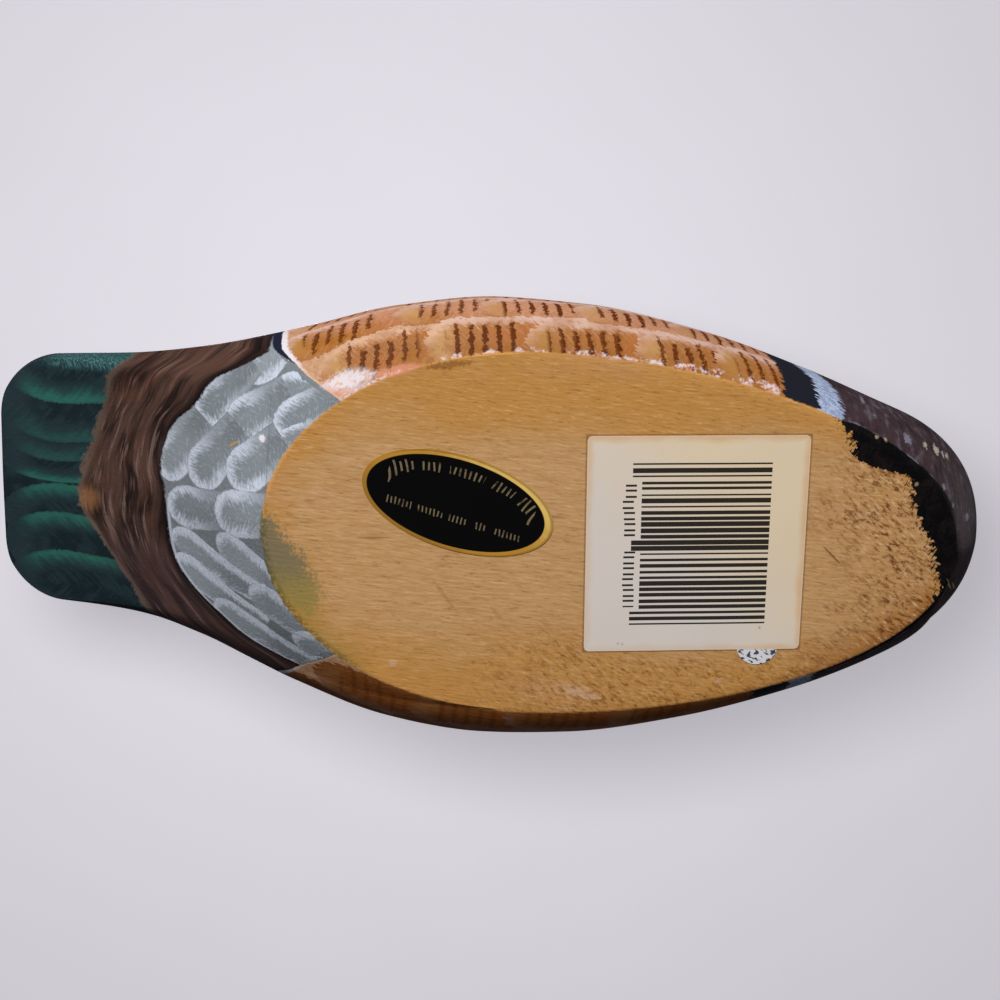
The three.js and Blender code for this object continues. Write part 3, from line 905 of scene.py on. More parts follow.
def rump_paint(coat, palette, brush):
    """Dark brown with lighter strokes that run across, along the tail's and the belly's outlines, and a
    warm painted highlight on the ridge by the tail.
    """
    _, y, _ = coat.place_parts()
    share = coat.field("rump_share")
    fan = share * (coat.size_of(y) * 0.012 + 1) + y * 0.004
    streak = coat.noise_at(coat.join(fan * 4, y * 0.07, 0.0), detail=2, roughness=0.5)
    narrow = coat.noise_at(coat.join(fan * 13, y * 0.075, 3.0), detail=2, roughness=0.6)
    hairs = coat.noise_at(coat.join(fan * 48, y * 0.22, 8.0), detail=2, roughness=0.6)
    wisps = hairs - 0.5
    body = coat.mix(coat.fade(streak + wisps * 0.2, 0.36, 0.62), palette.rump_dark, palette.rump_brown)
    body = coat.mix(coat.fade(narrow + wisps * 0.4, 0.53, 0.7) * 0.7, body, palette.rump_light)
    body = coat.mix(coat.fade(hairs, 0.55, 0.75) * 0.2, body, palette.rump_light)
    body = coat.mix(coat.fade(narrow + wisps * 0.4, 0.44, 0.3) * 0.6, body, palette.rump_dark)
    body = coat.mix(coat.fade(brush.soft, 0.5, 0.75) * 0.3, body, palette.rump_red)
    body = coat.mix(coat.fade(y, -14, -22) * coat.fade(narrow, 0.45, 0.6) * 0.4, body, palette.rump_red)
    body = coat.mix(coat.fade(y, 4, 14) * 0.3, body, palette.breast_brown)
    rim = coat.fade(share + wisps * 0.16, 0.09, 0.02)
    body = coat.mix(rim * 0.5, body, palette.rump_rim)
    # warm is a painted highlight on the rump's ridge where it meets the tail
    warm = coat.fade(coat.from_spot(*RUMP_PAINTED_HIGHLIGHT_AT) + (narrow - 0.5) * 5 + wisps * 4, 3.6, 0.6)
    body = coat.mix(warm * 0.45, body, palette.rump_warm)
    return coat.mix(coat.fade(share + wisps * 0.2, 0.84, 0.98) * 0.85, body, palette.bar_black)


def breast_paint(coat, palette, brush):
    """Dark purple brown, thinly brushed, with a few small pale dabs."""
    _, _, z = coat.place_parts()
    brushed = coat.noise(1.4, stretch=(1, 2.4, 2.4), detail=2, roughness=0.6, shift=7.0)
    grit = coat.noise(0.5, detail=2, shift=12.0)
    body = coat.mix(brush.soft, palette.breast_dark, palette.breast_brown)
    body = coat.mix(coat.fade(brushed, 0.5, 0.75) * 0.3, body, palette.breast_speck)
    body = coat.mix(coat.fade(brushed, 0.45, 0.3) * 0.5, body, palette.bar_black)
    loose = (brushed - 0.5) * 1.2 + (grit - 0.5) * 1.6
    low = coat.fade(z, 22, 18)
    body = coat.mix(coat.spots(BREAST_DABS, loose) * low * 0.75, body, palette.breast_speck)
    return coat.mix(coat.spots(BREAST_CREAM_DABS, loose) * low * 0.85, body, palette.breast_cream)


def back_paint(coat, palette, brush, feather):
    """Plain dark bronze feathers with a cool sheen on their rims."""
    along, across, reach, barbs, number, covered = feather
    body = coat.mix(coat.chance(number), palette.back_dark, palette.back_bronze)
    body = coat.mix(coat.fade(barbs, 0.45, 0.75) * 0.4, body, palette.back_edge)
    edge = coat.fade(reach + (barbs - 0.5) * 0.3, 0.72, 0.97)
    ground = coat.mix(brush.soft, palette.back_dark, palette.back_bronze)
    return coat.mix(covered, ground, coat.mix(edge * 0.7, body, palette.back_edge))


def sound_wood(coat, palette, grain, broad):
    """Wood with short fine grain along X, golden near the rim of the base."""
    _, y, _ = coat.place_parts()
    drift = broad - 0.5
    pores = coat.noise(0.34, stretch=(6, 1, 1), turn=5, shift=9.0, detail=2, roughness=0.65)
    wood = coat.mix(coat.fade(grain, 0.28, 0.72), palette.wood_light, palette.wood_dark)
    golden = coat.most(
        coat.fade(y + drift * 18, -14, -25), coat.fade(coat.field("base_inset") + drift * 10, 6, 0),
        coat.fade(y + drift * 16, 15, 25) * 0.9)
    wood = coat.mix(golden * 0.85, wood, coat.mix(grain, palette.wood_golden, palette.wood_amber))
    wood = coat.mix(coat.fade(broad, 0.56, 0.76) * 0.35, wood, palette.wood_rosy)
    wood = coat.mix(coat.fade(pores, 0.57, 0.74) * 0.42, wood, palette.wood_pore)
    return coat.mix(coat.fade(pores, 0.43, 0.27) * 0.38, wood, palette.wood_pale)


def rough_wood(coat, palette, brush, wood, broad, rasp):
    """Roughens the wood towards the breast and along its far edge with rasp marks and grit."""
    x, y, _ = coat.place_parts()
    drift = broad - 0.5
    grit = coat.noise(0.8, stretch=(1.5, 1, 1), turn=24, shift=14.0, detail=3, roughness=0.7)
    front = coat.fade(x + drift * 26, 56, 76)
    far_edge = coat.fade(y + drift * 14, 15, 24) * coat.fade(x, -12, 16) * 0.6
    rough = coat.most(front, far_edge)
    wood = coat.mix(rough * 0.25, wood, palette.wood_amber)
    wood = coat.mix(coat.fade(x + y + drift * 30, 76, 94) * 0.55, wood, palette.wood_russet)
    crowded = (brush.soft - 0.5) * 0.3
    marks = coat.fade(rasp + crowded, 0.52, 0.64) * 0.65 + coat.fade(grit + crowded, 0.55, 0.67) * 0.7
    wood = coat.mix(coat.math("MINIMUM", marks * rough, 0.9), wood, palette.wood_pore)
    return coat.mix(coat.fade(rasp, 0.46, 0.3) * rough * 0.65, wood, palette.wood_pale)


def worn_wood(coat, palette, brush, wood, grain, rasp):
    """Adds the pale rubs, and the dark cut, scuffs and nicks."""
    rub = coat.scratch(*WOOD_RUB, (rasp - 0.5) * 3.6)
    rubs = coat.most(rub, coat.spots(WOOD_RUB_SPOTS, (grain - 0.5) * 2.8))
    wood = coat.mix(rubs * 0.5, wood, palette.flank_rim)
    cut = coat.scratch(*WOOD_CUT, (brush.hair - 0.5) * 0.3)
    scuffs = [coat.scratch(*scuff, (grain - 0.5) * 1.8) * 0.3 for scuff in WOOD_SCUFFS]
    nicks = [coat.scratch(*nick) * 0.6 for nick in WOOD_NICKS]
    return coat.mix(coat.most(cut, *scuffs, *nicks) * 0.75, wood, palette.wood_pore)


def stained_wood(coat, palette, brush, wood, broad, rasp):
    """Adds the stain and the old olive paint at the rear, and a dark line round the square label."""
    x, y, _ = coat.place_parts()
    inset = coat.field("base_inset")
    grainy = brush.fine - 0.5
    near_rim = coat.fade(inset + grainy * 3 + (broad - 0.5) * 5, 5, 0)
    stain = near_rim * coat.fade(x, -18, -27) * coat.fade(y, 0, 10)
    wood = coat.mix(stain * 0.6, wood, palette.wood_stain)
    loose = grainy * 5 + (brush.hair - 0.5) * 4 + (rasp - 0.5) * 3
    old = coat.fade(coat.field("olive_patch") + loose, -0.8, 1.4)
    olive = coat.mix(coat.fade(y + grainy * 10, 5, 13), palette.olive_grey, palette.olive)
    wood = coat.mix(old * 0.8, wood, olive)
    rim_line = coat.fade(inset + grainy * 1.4, 0.7, 0.1) * coat.fade(x, -20, -26) * coat.fade(y, -6, 0)
    wood = coat.mix(rim_line * coat.fade(brush.fine, 0.4, 0.56) * 0.55, wood, palette.olive_dark)
    return coat.mix(coat.fade(around_square(coat), 0.45, 0.1) * 0.55, wood, palette.wood_pore)


def bare_wood(coat, palette, brush):
    """The raw wood of the base, with its rough part, its wear and its old paint."""
    grain = coat.noise(0.44, stretch=(11, 1, 1), turn=2, detail=3, roughness=0.7)
    broad = coat.noise(13, stretch=(2, 1, 1), shift=3.0, detail=2)
    rasp = coat.noise(0.6, stretch=(3, 1, 1), turn=34, shift=4.0, detail=3, roughness=0.65)
    wood = sound_wood(coat, palette, grain, broad)
    wood = rough_wood(coat, palette, brush, wood, broad, rasp)
    wood = worn_wood(coat, palette, brush, wood, grain, rasp)
    return stained_wood(coat, palette, brush, wood, broad, rasp)


def rump_and_belly(coat, palette, brush, feather):
    """The brown rump and the grey belly feathers, with a pale line between them on the far side."""
    _, y, _ = coat.place_parts()
    belly_side = coat.field("belly_side")
    paint = rump_paint(coat, palette, brush)
    belly = belly_paint(coat, palette, brush, feather)
    paint = coat.mix(coat.fade(belly_side + brush.bristled * 0.6, -0.5, 0.1), paint, belly)
    outline = coat.fade(coat.size_of(belly_side - 0.2) + brush.ragged * 0.2, 0.5, 0.15)
    return coat.mix(outline * 0.7 * coat.fade(y, -2, 3), paint, palette.belly_pale)


def add_flank(coat, palette, brush, feather, bar_spacing, paint):
    """Lays the flank over the paint, with its white rear edge and the dark line behind it."""
    up = coat.field("up_flank")
    flank_side = coat.field("flank_side") + brush.ragged * 0.3
    line = coat.fade(up, -1, 9) * 1.8
    behind = coat.fade(flank_side + line, -0.2, 0.2) * coat.fade(line, 0.1, 0.4)
    paint = coat.mix(behind, paint, palette.flank_line)
    flank = flank_paint(coat, palette, brush, feather, bar_spacing)
    rear = coat.mix(coat.fade(up + brush.bristled, -2, 3), palette.flank_rim, palette.flank_white)
    rear_width = coat.fade(up, -3, 6) * coat.fade(up, 18, 13) * 0.7 + 0.35
    at_rear = coat.fade(flank_side + brush.bristled * 0.4 - rear_width, 0.35, -0.25)
    flank = coat.mix(at_rear * 0.9, flank, rear)
    return coat.mix(coat.fade(flank_side, -0.1, 0.15), paint, flank)


def add_bars_and_breast(coat, palette, brush, paint):
    """Lays the dark bar, the pale bar and the breast over the front of the paint."""
    before = coat.field("before_bar") + brush.ragged * 0.3 + (brush.teeth - 0.5) * 3.4
    paint = coat.mix(coat.fade(before, 0.2, -0.2), paint, palette.bar_navy)
    hatched = coat.fade(brush.teeth + (brush.hair - 0.5) * 0.6, 0.38, 0.62)
    bluish = coat.mix(hatched, palette.bar_pale, palette.bar_shade)
    paint = coat.mix(coat.fade(before, 0.3 - BLACK_BAR_WIDTH, -0.3 - BLACK_BAR_WIDTH), paint, bluish)
    bars = -BLACK_BAR_WIDTH - PALE_BAR_WIDTH
    past_bars = coat.fade(before + (brush.teeth - 0.5) * 1.4, bars + 0.3, bars - 0.3)
    return coat.mix(past_bars, paint, breast_paint(coat, palette, brush))


def spilled_black(coat, palette, brush):
    """The black paint under the breast, browner where it thins out up the front."""
    x, _, z = coat.place_parts()
    thin = coat.fade(brush.soft + (brush.hair - 0.5) * 0.6, 0.4, 0.7) * 0.28
    spilled = coat.mix(thin, palette.bar_black, palette.breast_dark)
    return coat.mix(coat.fade(z, 0.6, 3) * coat.fade(x, 74, 84) * 0.8, spilled, palette.breast_brown)


def add_black_edge(coat, palette, brush, spilled, paint):
    """Lays the black along the breast's lower edge, with pale specks where it meets the breast."""
    x, _, _ = coat.place_parts()
    breast_up = coat.field("breast_up")
    black_below = coat.fade(breast_up + brush.ragged * 0.7, 0.15, -0.15) * coat.fade(x, 50, 51)
    paint = coat.mix(black_below, paint, spilled)
    worn_edge = coat.fade(coat.size_of(breast_up + brush.ragged * 0.3), 0.3, 0.1)
    worn_edge = worn_edge * coat.fade(x, 60, 62) * coat.fade(x, 84, 76)
    return coat.mix(worn_edge * coat.fade(brush.soft, 0.45, 0.6) * 0.5, paint, palette.breast_speck)


def add_back_and_tail(coat, palette, brush, feather, paint):
    """Lays the back, the white fringe below it and the tail over the paint."""
    x, _, _ = coat.place_parts()
    above = coat.field("above_flank") + brush.ragged * 0.5
    on_flank = coat.fade(x, 58, 54)
    fringe = coat.fade(above, -1.5, -1.1) * on_flank * coat.fade(coat.field("flank_side"), -1, 0)
    paint = coat.mix(fringe * (coat.fade(x, -30, 0) * 0.35 + 0.4), paint, palette.flank_white)
    back = back_paint(coat, palette, brush, feather)
    back = coat.mix(coat.fade(above, 1.6, 1.2), back, palette.bar_black)
    paint = coat.mix(coat.fade(above, -0.25, 0.25), paint, back)
    tail_side = coat.field("tail_side") + brush.bristled * 1.1 + (brush.soft - 0.5) * 3
    return coat.mix(coat.fade(tail_side, -0.4, 0.4), paint, tail_paint(coat, palette, brush, feather))


def chip_rim(coat, palette, brush, paint):
    """Chips the near flank's paint along the rim of the base."""
    x, y, z = coat.place_parts()
    on_flank = coat.fade(x, 51, 49) * coat.fade(x, -30, -26) * coat.fade(y, 6, 0)
    patchy = coat.fade(brush.soft + (brush.fine - 0.5) * 0.5, 0.42, 0.56)
    wider = coat.fade(x, 22, 40) * 0.9
    near_rim = coat.fade(coat.field("base_inset") + brush.bristled * 0.9 + wider, -1.3, -0.6)
    near_rim = near_rim * coat.fade(z, 2.2, 1.4) * on_flank * patchy
    chipped = coat.mix(coat.fade(brush.fine, 0.42, 0.58), palette.flank_worn, palette.flank_white)
    return coat.mix(near_rim * 0.8, paint, chipped)


def spill_onto(coat, brush, spilled, wood):
    """Runs the black over the front of the wood, with loose crumbs at its edge."""
    spill = coat.field("black_spill")
    hair = brush.hair - 0.5
    ran = spill + (brush.soft - 0.5) * 3 + brush.ragged * 1.6 + hair * 3 + (brush.teeth - 0.5) * 3
    crumbs = coat.fade(spill + hair * 9 + (brush.fine - 0.5) * 8, 0, 0.6) * 0.8
    return coat.mix(coat.most(coat.fade(ran, -0.2, 0.2), crumbs), wood, spilled)


def wear_skin(coat, palette, brush, skin):
    """Chips and scratches on the breast, and the worn patch by the rear of the near flank."""
    _, _, z = coat.place_parts()
    chips = coat.spots(BREAST_CHIPS, (brush.fine - 0.5) * 1.2) * 0.6
    scratches = [coat.scratch(*scratch, brush.ragged * 0.3) for scratch in BREAST_SCRATCHES]
    skin = coat.mix(coat.most(chips, *scratches) * coat.fade(z, 8, 6) * 0.8, skin, palette.wood_pale)
    low = coat.fade(z, 11, 9)
    flank_side = coat.field("flank_side") + brush.ragged * 0.3
    pink = coat.most(*(coat.scratch(*smear, brush.bristled * 0.7) for smear in WORN_PINK))
    pink = pink * coat.fade(flank_side, -0.2, 0.4)
    skin = coat.mix(pink * low * 0.6, skin, palette.flank_worn)
    white = coat.scratch(*WORN_WHITE, brush.bristled * 0.8)
    pale = coat.mix(coat.fade(brush.fine, 0.5, 0.64), palette.flank_white, palette.flank_rim)
    skin = coat.mix(white * low * 0.85, skin, pale)
    dirt = coat.scratch(*WORN_DIRT, brush.bristled * 0.8)
    return coat.mix(dirt * low * 0.5, skin, palette.wood_pore)


def body_coat(palette, sizes):
    """The painted feathers, and the raw wood where the paint stops at the base."""
    coat = Coat("duck_paint", **{"Specular IOR Level": 0.04})
    brush = brush_noise(coat)
    frayed = (brush.teeth - 0.5) * 0.5 * coat.fade(coat.field("flank_side"), -1, 0)
    feather = top_feather(coat, (brush.fine - 0.5) * 0.12 + frayed)
    spilled = spilled_black(coat, palette, brush)
    paint = rump_and_belly(coat, palette, brush, feather)
    paint = add_flank(coat, palette, brush, feather, sizes.flank_bar_spacing, paint)
    paint = add_bars_and_breast(coat, palette, brush, paint)
    paint = add_black_edge(coat, palette, brush, spilled, paint)
    paint = add_back_and_tail(coat, palette, brush, feather, paint)
    paint = chip_rim(coat, palette, brush, paint)
    wood = spill_onto(coat, brush, spilled, bare_wood(coat, palette, brush))
    _, _, z = coat.place_parts()
    on_wood = coat.fade(coat.field("base_inset") + brush.ragged * 0.45, -0.7, -0.3)
    on_wood = on_wood * coat.fade(z, 1.0, 0.7)
    coat.colour(wear_skin(coat, palette, brush, coat.mix(on_wood, paint, wood)))
    coat.roughness(coat.math("MULTIPLY_ADD", on_wood, 0.3, 0.46))
    relief = coat.noise(0.5, stretch=(5, 1, 1), turn=6, shift=11.0, detail=1)
    coat.bump(relief, sizes.brush_depth, 0.5)
    return coat


# Pieces

class BuildBody(bpy.types.Operator):
    """Carves the duck's body as one smooth skin and paints it"""

    bl_idname = "duck.build_body"
    bl_label = "Body"

    def execute(self, context):
        sizes = context.scene.duck_sizes.drawn()
        x = body_stations()
        y, z = half_sections(x)
        arc = np.cumsum(np.hypot(np.diff(y, prepend=y[:, :1]), np.diff(z, prepend=z[:, :1])), axis=1)
        up_flank = arc - arc[:, CHINE_COLUMN : CHINE_COLUMN + 1]
        y, z = round_tail_edge(x, y, z)
        place = np.repeat(x[:, None], y.shape[1], axis=1)
        on_top = np.arange(y.shape[1]) > WIDEST_COLUMN + 2
        hill = neck_stump_height(place, y)
        on_stump = on_top & (hill > NECK_JOINT_HEIGHT - NECK_FLARE_DEPTH + 0.01)
        z = np.where(on_stump, smooth_max(z, hill, NECK_BLEND), z)
        z = np.minimum(z, NECK_JOINT_HEIGHT)
        z = np.maximum(z, sizes.label_thickness)
        mirrored = np.hstack([y, -y[:, -2::-1]])
        rings = np.stack([closed_ring(place), mirrored, closed_ring(z)], axis=-1)
        ends = [np.broadcast_to(ring.mean(axis=0), ring.shape)[None] for ring in (rings[0], rings[-1])]
        rings = np.concatenate([ends[0], rings, ends[1]])
        up = closed_ring(up_flank)
        up = np.concatenate([up[:1], up, up[-1:]])
        fields = paint_fields(rings[..., 0], rings[..., 1], rings[..., 2], up)
        body = loft("duck_body", rings, fields)
        finished(body, body_coat(context.scene.duck_paints.shades(), sizes), "painted_wood", "body")
        return {"FINISHED"}


def ring_of(half_x, half_y, middle_x, z, sides=64):
    turn = np.linspace(0, 2 * math.pi, sides + 1)
    x, y = middle_x + half_x * np.cos(turn), half_y * np.sin(turn)
    return np.stack([x, y, np.full_like(turn, z)], axis=-1)


def with_hubs(rings):
    """The same rings with a point closing each end."""
    ends = [np.broadcast_to(ring[:-1].mean(axis=0), ring.shape)[None] for ring in (rings[0], rings[-1])]
    return np.concatenate([ends[0], rings, ends[1]])


def neck_rings():
    t = np.linspace(0, 1, 12)
    rings = [ring_of(
        NECK_HALF_LENGTH - NECK_WAIST * s * (1 - s), NECK_HALF_WIDTH - NECK_TOP_NARROWING * s,
        NECK_AT + NECK_LEAN * s, NECK_JOINT_HEIGHT + (NECK_TOP - NECK_JOINT_HEIGHT) * s) for s in t]
    return with_hubs(np.array(rings))


def skull_rings():
    x = np.concatenate([
        spaced(CREST_END, 30, 20, slow_start), spaced(30, 80, 60),
        spaced(80, BILL_TIP, 24, slow_end), [BILL_TIP],
    ])[:, None]
    turn = np.linspace(0, 2 * math.pi, 73)[None]
    middle = (head_top(x) + head_bottom(x)) / 2
    half = (head_top(x) - head_bottom(x)) / 2
    y = head_half_width(x) * np.sin(turn)
    return with_hubs(np.stack([x + 0 * turn, y, middle - half * np.cos(turn)], axis=-1))


def stripe(points, x, z):
    """How far each point lies from a line through a few places."""
    distance = np.full(np.shape(x), np.inf)
    for a, b in zip(np.array(points[:-1], float), np.array(points[1:], float)):
        run = b - a
        t = np.clip(((x - a[0]) * run[0] + (z - a[1]) * run[1]) / (run @ run), 0, 1)
        distance = np.minimum(distance, np.hypot(x - a[0] - t * run[0], z - a[1] - t * run[1]))
    return distance


def inside(outline, x, z):
    """How far each point lies inside a closed outline. It's negative outside."""
    crossings = np.zeros(np.shape(x), bool)
    for a, b in zip(outline, outline[1:] + outline[:1]):
        straddles = (a[1] > z) != (b[1] > z)
        rise = b[1] - a[1] if b[1] != a[1] else 1
        crossings ^= straddles & (x < a[0] + (z - a[1]) / rise * (b[0] - a[0]))
    distance = stripe(outline + outline[:1], x, z)
    return np.where(crossings, distance, -distance)


BROW_STRIPE = [(72, 86.5), (66, 90.5), (58, 92), (47, 89.5), (35, 81.5), (24, 72), (17, 66.8)]
CHEEK_STRIPE = [(54, 82), (46, 79), (36, 72), (26, 65.5), (19, 65)]
THROAT = [
    (73, 70), (72, 77), (66, 77.5), (61, 76.5), (58.5, 80.5), (55.5, 84), (54.5, 79), (53, 73.5),
    (46, 70.5), (40, 72.5), (35, 76), (36, 70), (40, 65), (46, 60), (58, 60),
]
BILL_BASE = profile([[60, 73], [74, 70.5], [79, 69.5], [84, 70], [90, 73]])
MOUTH_LINE = [(69.5, 76), (78, 77.2), (86, 77), (90.5, 77.4)]
MOUTH_WIDTH, MOUTH_DEPTH = 0.45, 0.55
BILL_BASE_WIDTH, BILL_BASE_DEPTH = 0.6, 0.4
NOSTRIL_X, NOSTRIL_Z, NOSTRIL_LENGTH, NOSTRIL_HEIGHT, NOSTRIL_DEPTH = 77.5, 81, 1.5, 0.7, 0.6
CREST_FRONT, CREST_FADE, CREST_DEPTH = 46, 20, 0.16
LID_OUT, LID_WIDTH, LID_HEIGHT = 0.7, 0.6, 0.55
SOCKET_GAP, SOCKET_WALL = 0.2, 0.6


def shape_head(points, eye_radius):
    """Presses the mouth, bill base, nostrils, crest grooves and eye sockets into the head."""
    x, y, z = points.T
    side = np.abs(y)
    mouth = np.exp(-(stripe(MOUTH_LINE, x, z) / MOUTH_WIDTH) ** 2)
    base = np.exp(-((x - BILL_BASE(z)) / BILL_BASE_WIDTH) ** 2)
    ahead, up = (x - NOSTRIL_X) / NOSTRIL_LENGTH, (z - NOSTRIL_Z) / NOSTRIL_HEIGHT
    nostril = np.exp(-(ahead**2 + up**2))
    on_crest = np.clip((CREST_FRONT - x) / CREST_FADE, 0, 1)
    crest = np.where(x < CREST_FRONT, np.sin(z * 1.7 + x * 0.5) * on_crest, 0)
    from_eye = np.hypot(x - EYE_X, z - EYE_Z)
    lid = np.exp(-((from_eye - eye_radius - LID_OUT) / LID_WIDTH) ** 2)
    socket = np.clip((eye_radius + SOCKET_GAP - from_eye) / SOCKET_WALL, 0, 1)
    pressed = MOUTH_DEPTH * mouth * (side > 1) + BILL_BASE_DEPTH * base
    pressed = pressed + NOSTRIL_DEPTH * nostril * (side > 2) + CREST_DEPTH * crest
    outer = side - (pressed - LID_HEIGHT * lid * (side > 6))
    floor = np.minimum(outer, EYE_CENTRE_OUT + SOCKET_GAP)
    outer = np.where(side > 6, outer * (1 - socket) + floor * socket, outer)
    points[:, 1] = np.sign(y) * outer
    return points


def head_coat(palette, sizes):
    """Green crown, purple cheek with white stripes, white throat, red bill with a dark ridge and tip."""
    coat = Coat("head_paint")
    fine = coat.noise(0.9, detail=4, roughness=0.6)
    barbs = coat.noise(0.5, stretch=(6, 1, 1.5), detail=2, shift=4.0)
    ragged = (fine - 0.5) * 0.9
    x, y, z = coat.place_parts()
    crown = coat.mix(barbs, palette.head_green, palette.head_teal)
    cheek = coat.mix(barbs, palette.head_purple, palette.head_dark)
    above = coat.field("above_brow")
    paint = coat.mix(coat.fade(above + ragged, -0.6, 0.6), cheek, crown)
    neck = coat.mix(barbs, palette.breast_brown, palette.breast_dark)
    paint = coat.mix(coat.fade(z + ragged, 69, 66), paint, neck)
    paint = coat.mix(coat.fade(coat.field("throat") + ragged, -0.3, 0.3), paint, palette.head_white)
    for name, half in (("brow_stripe", 0.7), ("cheek_stripe", 0.6)):
        white = coat.fade(coat.field(name) + ragged * 0.5, half + 0.25, half - 0.25)
        paint = coat.mix(white, paint, palette.head_white)
    ring = coat.fade(coat.field("from_eye"), sizes.eye_radius + 1.3, sizes.eye_radius + 1.0)
    paint = coat.mix(ring, paint, palette.bill_red)
    bill = coat.mix(coat.fade(x, 78, 82), palette.bill_red, palette.bill_pale)
    ridge = coat.fade(coat.size_of(y), 3.2, 2.4)
    bill = coat.mix(coat.most(ridge, coat.fade(x, 86.5, 88)), bill, palette.bar_black)
    bill_side = coat.field("bill_side") + ragged * 0.3
    paint = coat.mix(coat.fade(bill_side, -0.9, -0.6), paint, palette.bill_yellow)
    paint = coat.mix(coat.fade(bill_side, -0.1, 0.2), paint, bill)
    paint = coat.mix(coat.fade(coat.field("mouth"), 0.5, 0.2), paint, palette.bar_black)
    coat.colour(paint)
    coat.roughness(0.4)
    coat.bump(barbs * 0.6 + fine * 0.3, sizes.brush_depth, 0.4)
    return coat


class BuildHead(bpy.types.Operator):
    """Carves the head, crest, bill and neck as one skin and paints them"""

    bl_idname = "duck.build_head"
    bl_label = "Head"

    def execute(self, context):
        sizes = context.scene.duck_sizes.drawn()
        skull = loft("duck_head", skull_rings())
        neck = loft("neck", neck_rings())
        nothing_selected()
        neck.select_set(True)
        skull.select_set(True)
        bpy.context.view_layer.objects.active = skull
        bpy.ops.object.join()
        apply_modifier(skull, "REMESH", mode="VOXEL", voxel_size=HEAD_VOXEL * MM, use_smooth_shade=True)
        apply_modifier(skull, "SMOOTH", factor=0.5, iterations=4)
        points = shape_head(points_of(skull), sizes.eye_radius)
        points[:, 2] = np.maximum(points[:, 2], NECK_JOINT_HEIGHT + NECK_GLUE_GAP)
        set_points(skull, points)
        x, y, z = points.T
        brow = np.array(sorted(BROW_STRIPE))
        add_field(skull, "brow_stripe", stripe(BROW_STRIPE, x, z))
        add_field(skull, "cheek_stripe", stripe(CHEEK_STRIPE, x, z))
        add_field(skull, "throat", inside(THROAT, x, z))
        add_field(skull, "above_brow", z - np.interp(x, brow[:, 0], brow[:, 1]))
        add_field(skull, "bill_side", x - BILL_BASE(z))
        add_field(skull, "mouth", np.where(x > 70, stripe(MOUTH_LINE, x, z), 9))
        add_field(skull, "from_eye", np.hypot(x - EYE_X, z - EYE_Z))
        finished(skull, head_coat(context.scene.duck_paints.shades(), sizes), "painted_head", "head")
        return {"FINISHED"}


def eye_coat(palette, radius):
    """Glossy red with a dark pupil and rim."""
    coat = Coat("eye_glass", **{"Roughness": 0.06, "Coat Weight": 0.6})
    x, _, z = coat.place_parts()
    reach = coat.length_of(x - EYE_X, z - EYE_Z)
    fibres = coat.noise(0.5, detail=3)
    iris = coat.mix(fibres, palette.eye_red, palette.eye_dark)
    iris = coat.mix(coat.fade(reach, PUPIL_RADIUS + 0.05, PUPIL_RADIUS - 0.05), iris, palette.bar_black)
    coat.colour(coat.mix(coat.fade(reach, radius - 0.5, radius - 0.2), iris, palette.bar_black))
    return coat


class BuildEyes(bpy.types.Operator):
    """Sets a glossy red bead with a clear bulge into each side of the head"""

    bl_idname = "duck.build_eyes"
    bl_label = "Eyes"

    def execute(self, context):
        radius = context.scene.duck_sizes.drawn().eye_radius
        coat = eye_coat(context.scene.duck_paints.shades(), radius)
        for side, name in ((1, "eye_left"), (-1, "eye_right")):
            nothing_selected()
            bpy.ops.mesh.primitive_uv_sphere_add(segments=48, ring_count=32, radius=radius * MM)
            eye = bpy.context.object
            eye.name = eye.data.name = f"duck_{name}"
            points = points_of(eye)
            reach = np.hypot(points[:, 0], points[:, 2])
            bulge = EYE_BULGE * np.exp(-((reach / EYE_BULGE_REACH) ** 2))
            points[:, 1] += np.where(points[:, 1] * side > 0, bulge * side, 0)
            set_points(eye, points + [EYE_X, side * EYE_CENTRE_OUT, EYE_Z])
            finished(eye, coat, "eye_glass", name)
        return {"FINISHED"}


# Labels

SQUARE_AT, SQUARE_SIDE, SQUARE_CORNER, SQUARE_TURN = (37.4, 0), 40, 0.8, -0.049
OVAL_AT, OVAL_HALF_LENGTH, OVAL_HALF_WIDTH, OVAL_TURN = (-5.8, -5.9), 17.6, 8.6, 0.267
ROUND_AT, ROUND_RADIUS = (50.5, 18.4), 3.9
SQUARE_LIFT, OVAL_LIFT = 0.06, 0.04
ROW_HALF_LENGTH, ROW_HALF_WIDTH = 15.2, 5.65
BARS_START, BARS_END, BARS_HALF_HEIGHT = -10.1, 13.3, 15.4
LONG_BARS_START, LONG_BARS_HEIGHT = -11.8, 3.3
DASHES_AT, DASHES_PITCH, DASHES_HALF_HEIGHT = -12.2, 2.05, 11.6


def around_square(coat):
    """Distance outside the square label's outline in plan."""
    x, y, _ = coat.place_parts()
    cos, sin = math.cos(SQUARE_TURN), math.sin(SQUARE_TURN)
    along = coat.size_of((x - SQUARE_AT[0]) * cos + (y - SQUARE_AT[1]) * sin)
    across = coat.size_of((y - SQUARE_AT[1]) * cos - (x - SQUARE_AT[0]) * sin)
    return coat.most(along, across) - SQUARE_SIDE / 2


def square_outline():
    inset = SQUARE_SIDE / 2 - SQUARE_CORNER
    turn = np.linspace(0, 2 * math.pi, 129)[:-1]
    corner = np.floor(turn / (math.pi / 2)) * math.pi / 2 + math.pi / 4
    at = np.stack([np.sign(np.cos(corner)), np.sign(np.sin(corner))], axis=-1) * inset
    arc = np.stack([np.cos(turn), np.sin(turn)], axis=-1) * SQUARE_CORNER
    return even_outline(np.append(at + arc, (at + arc)[:1], axis=0), 240)


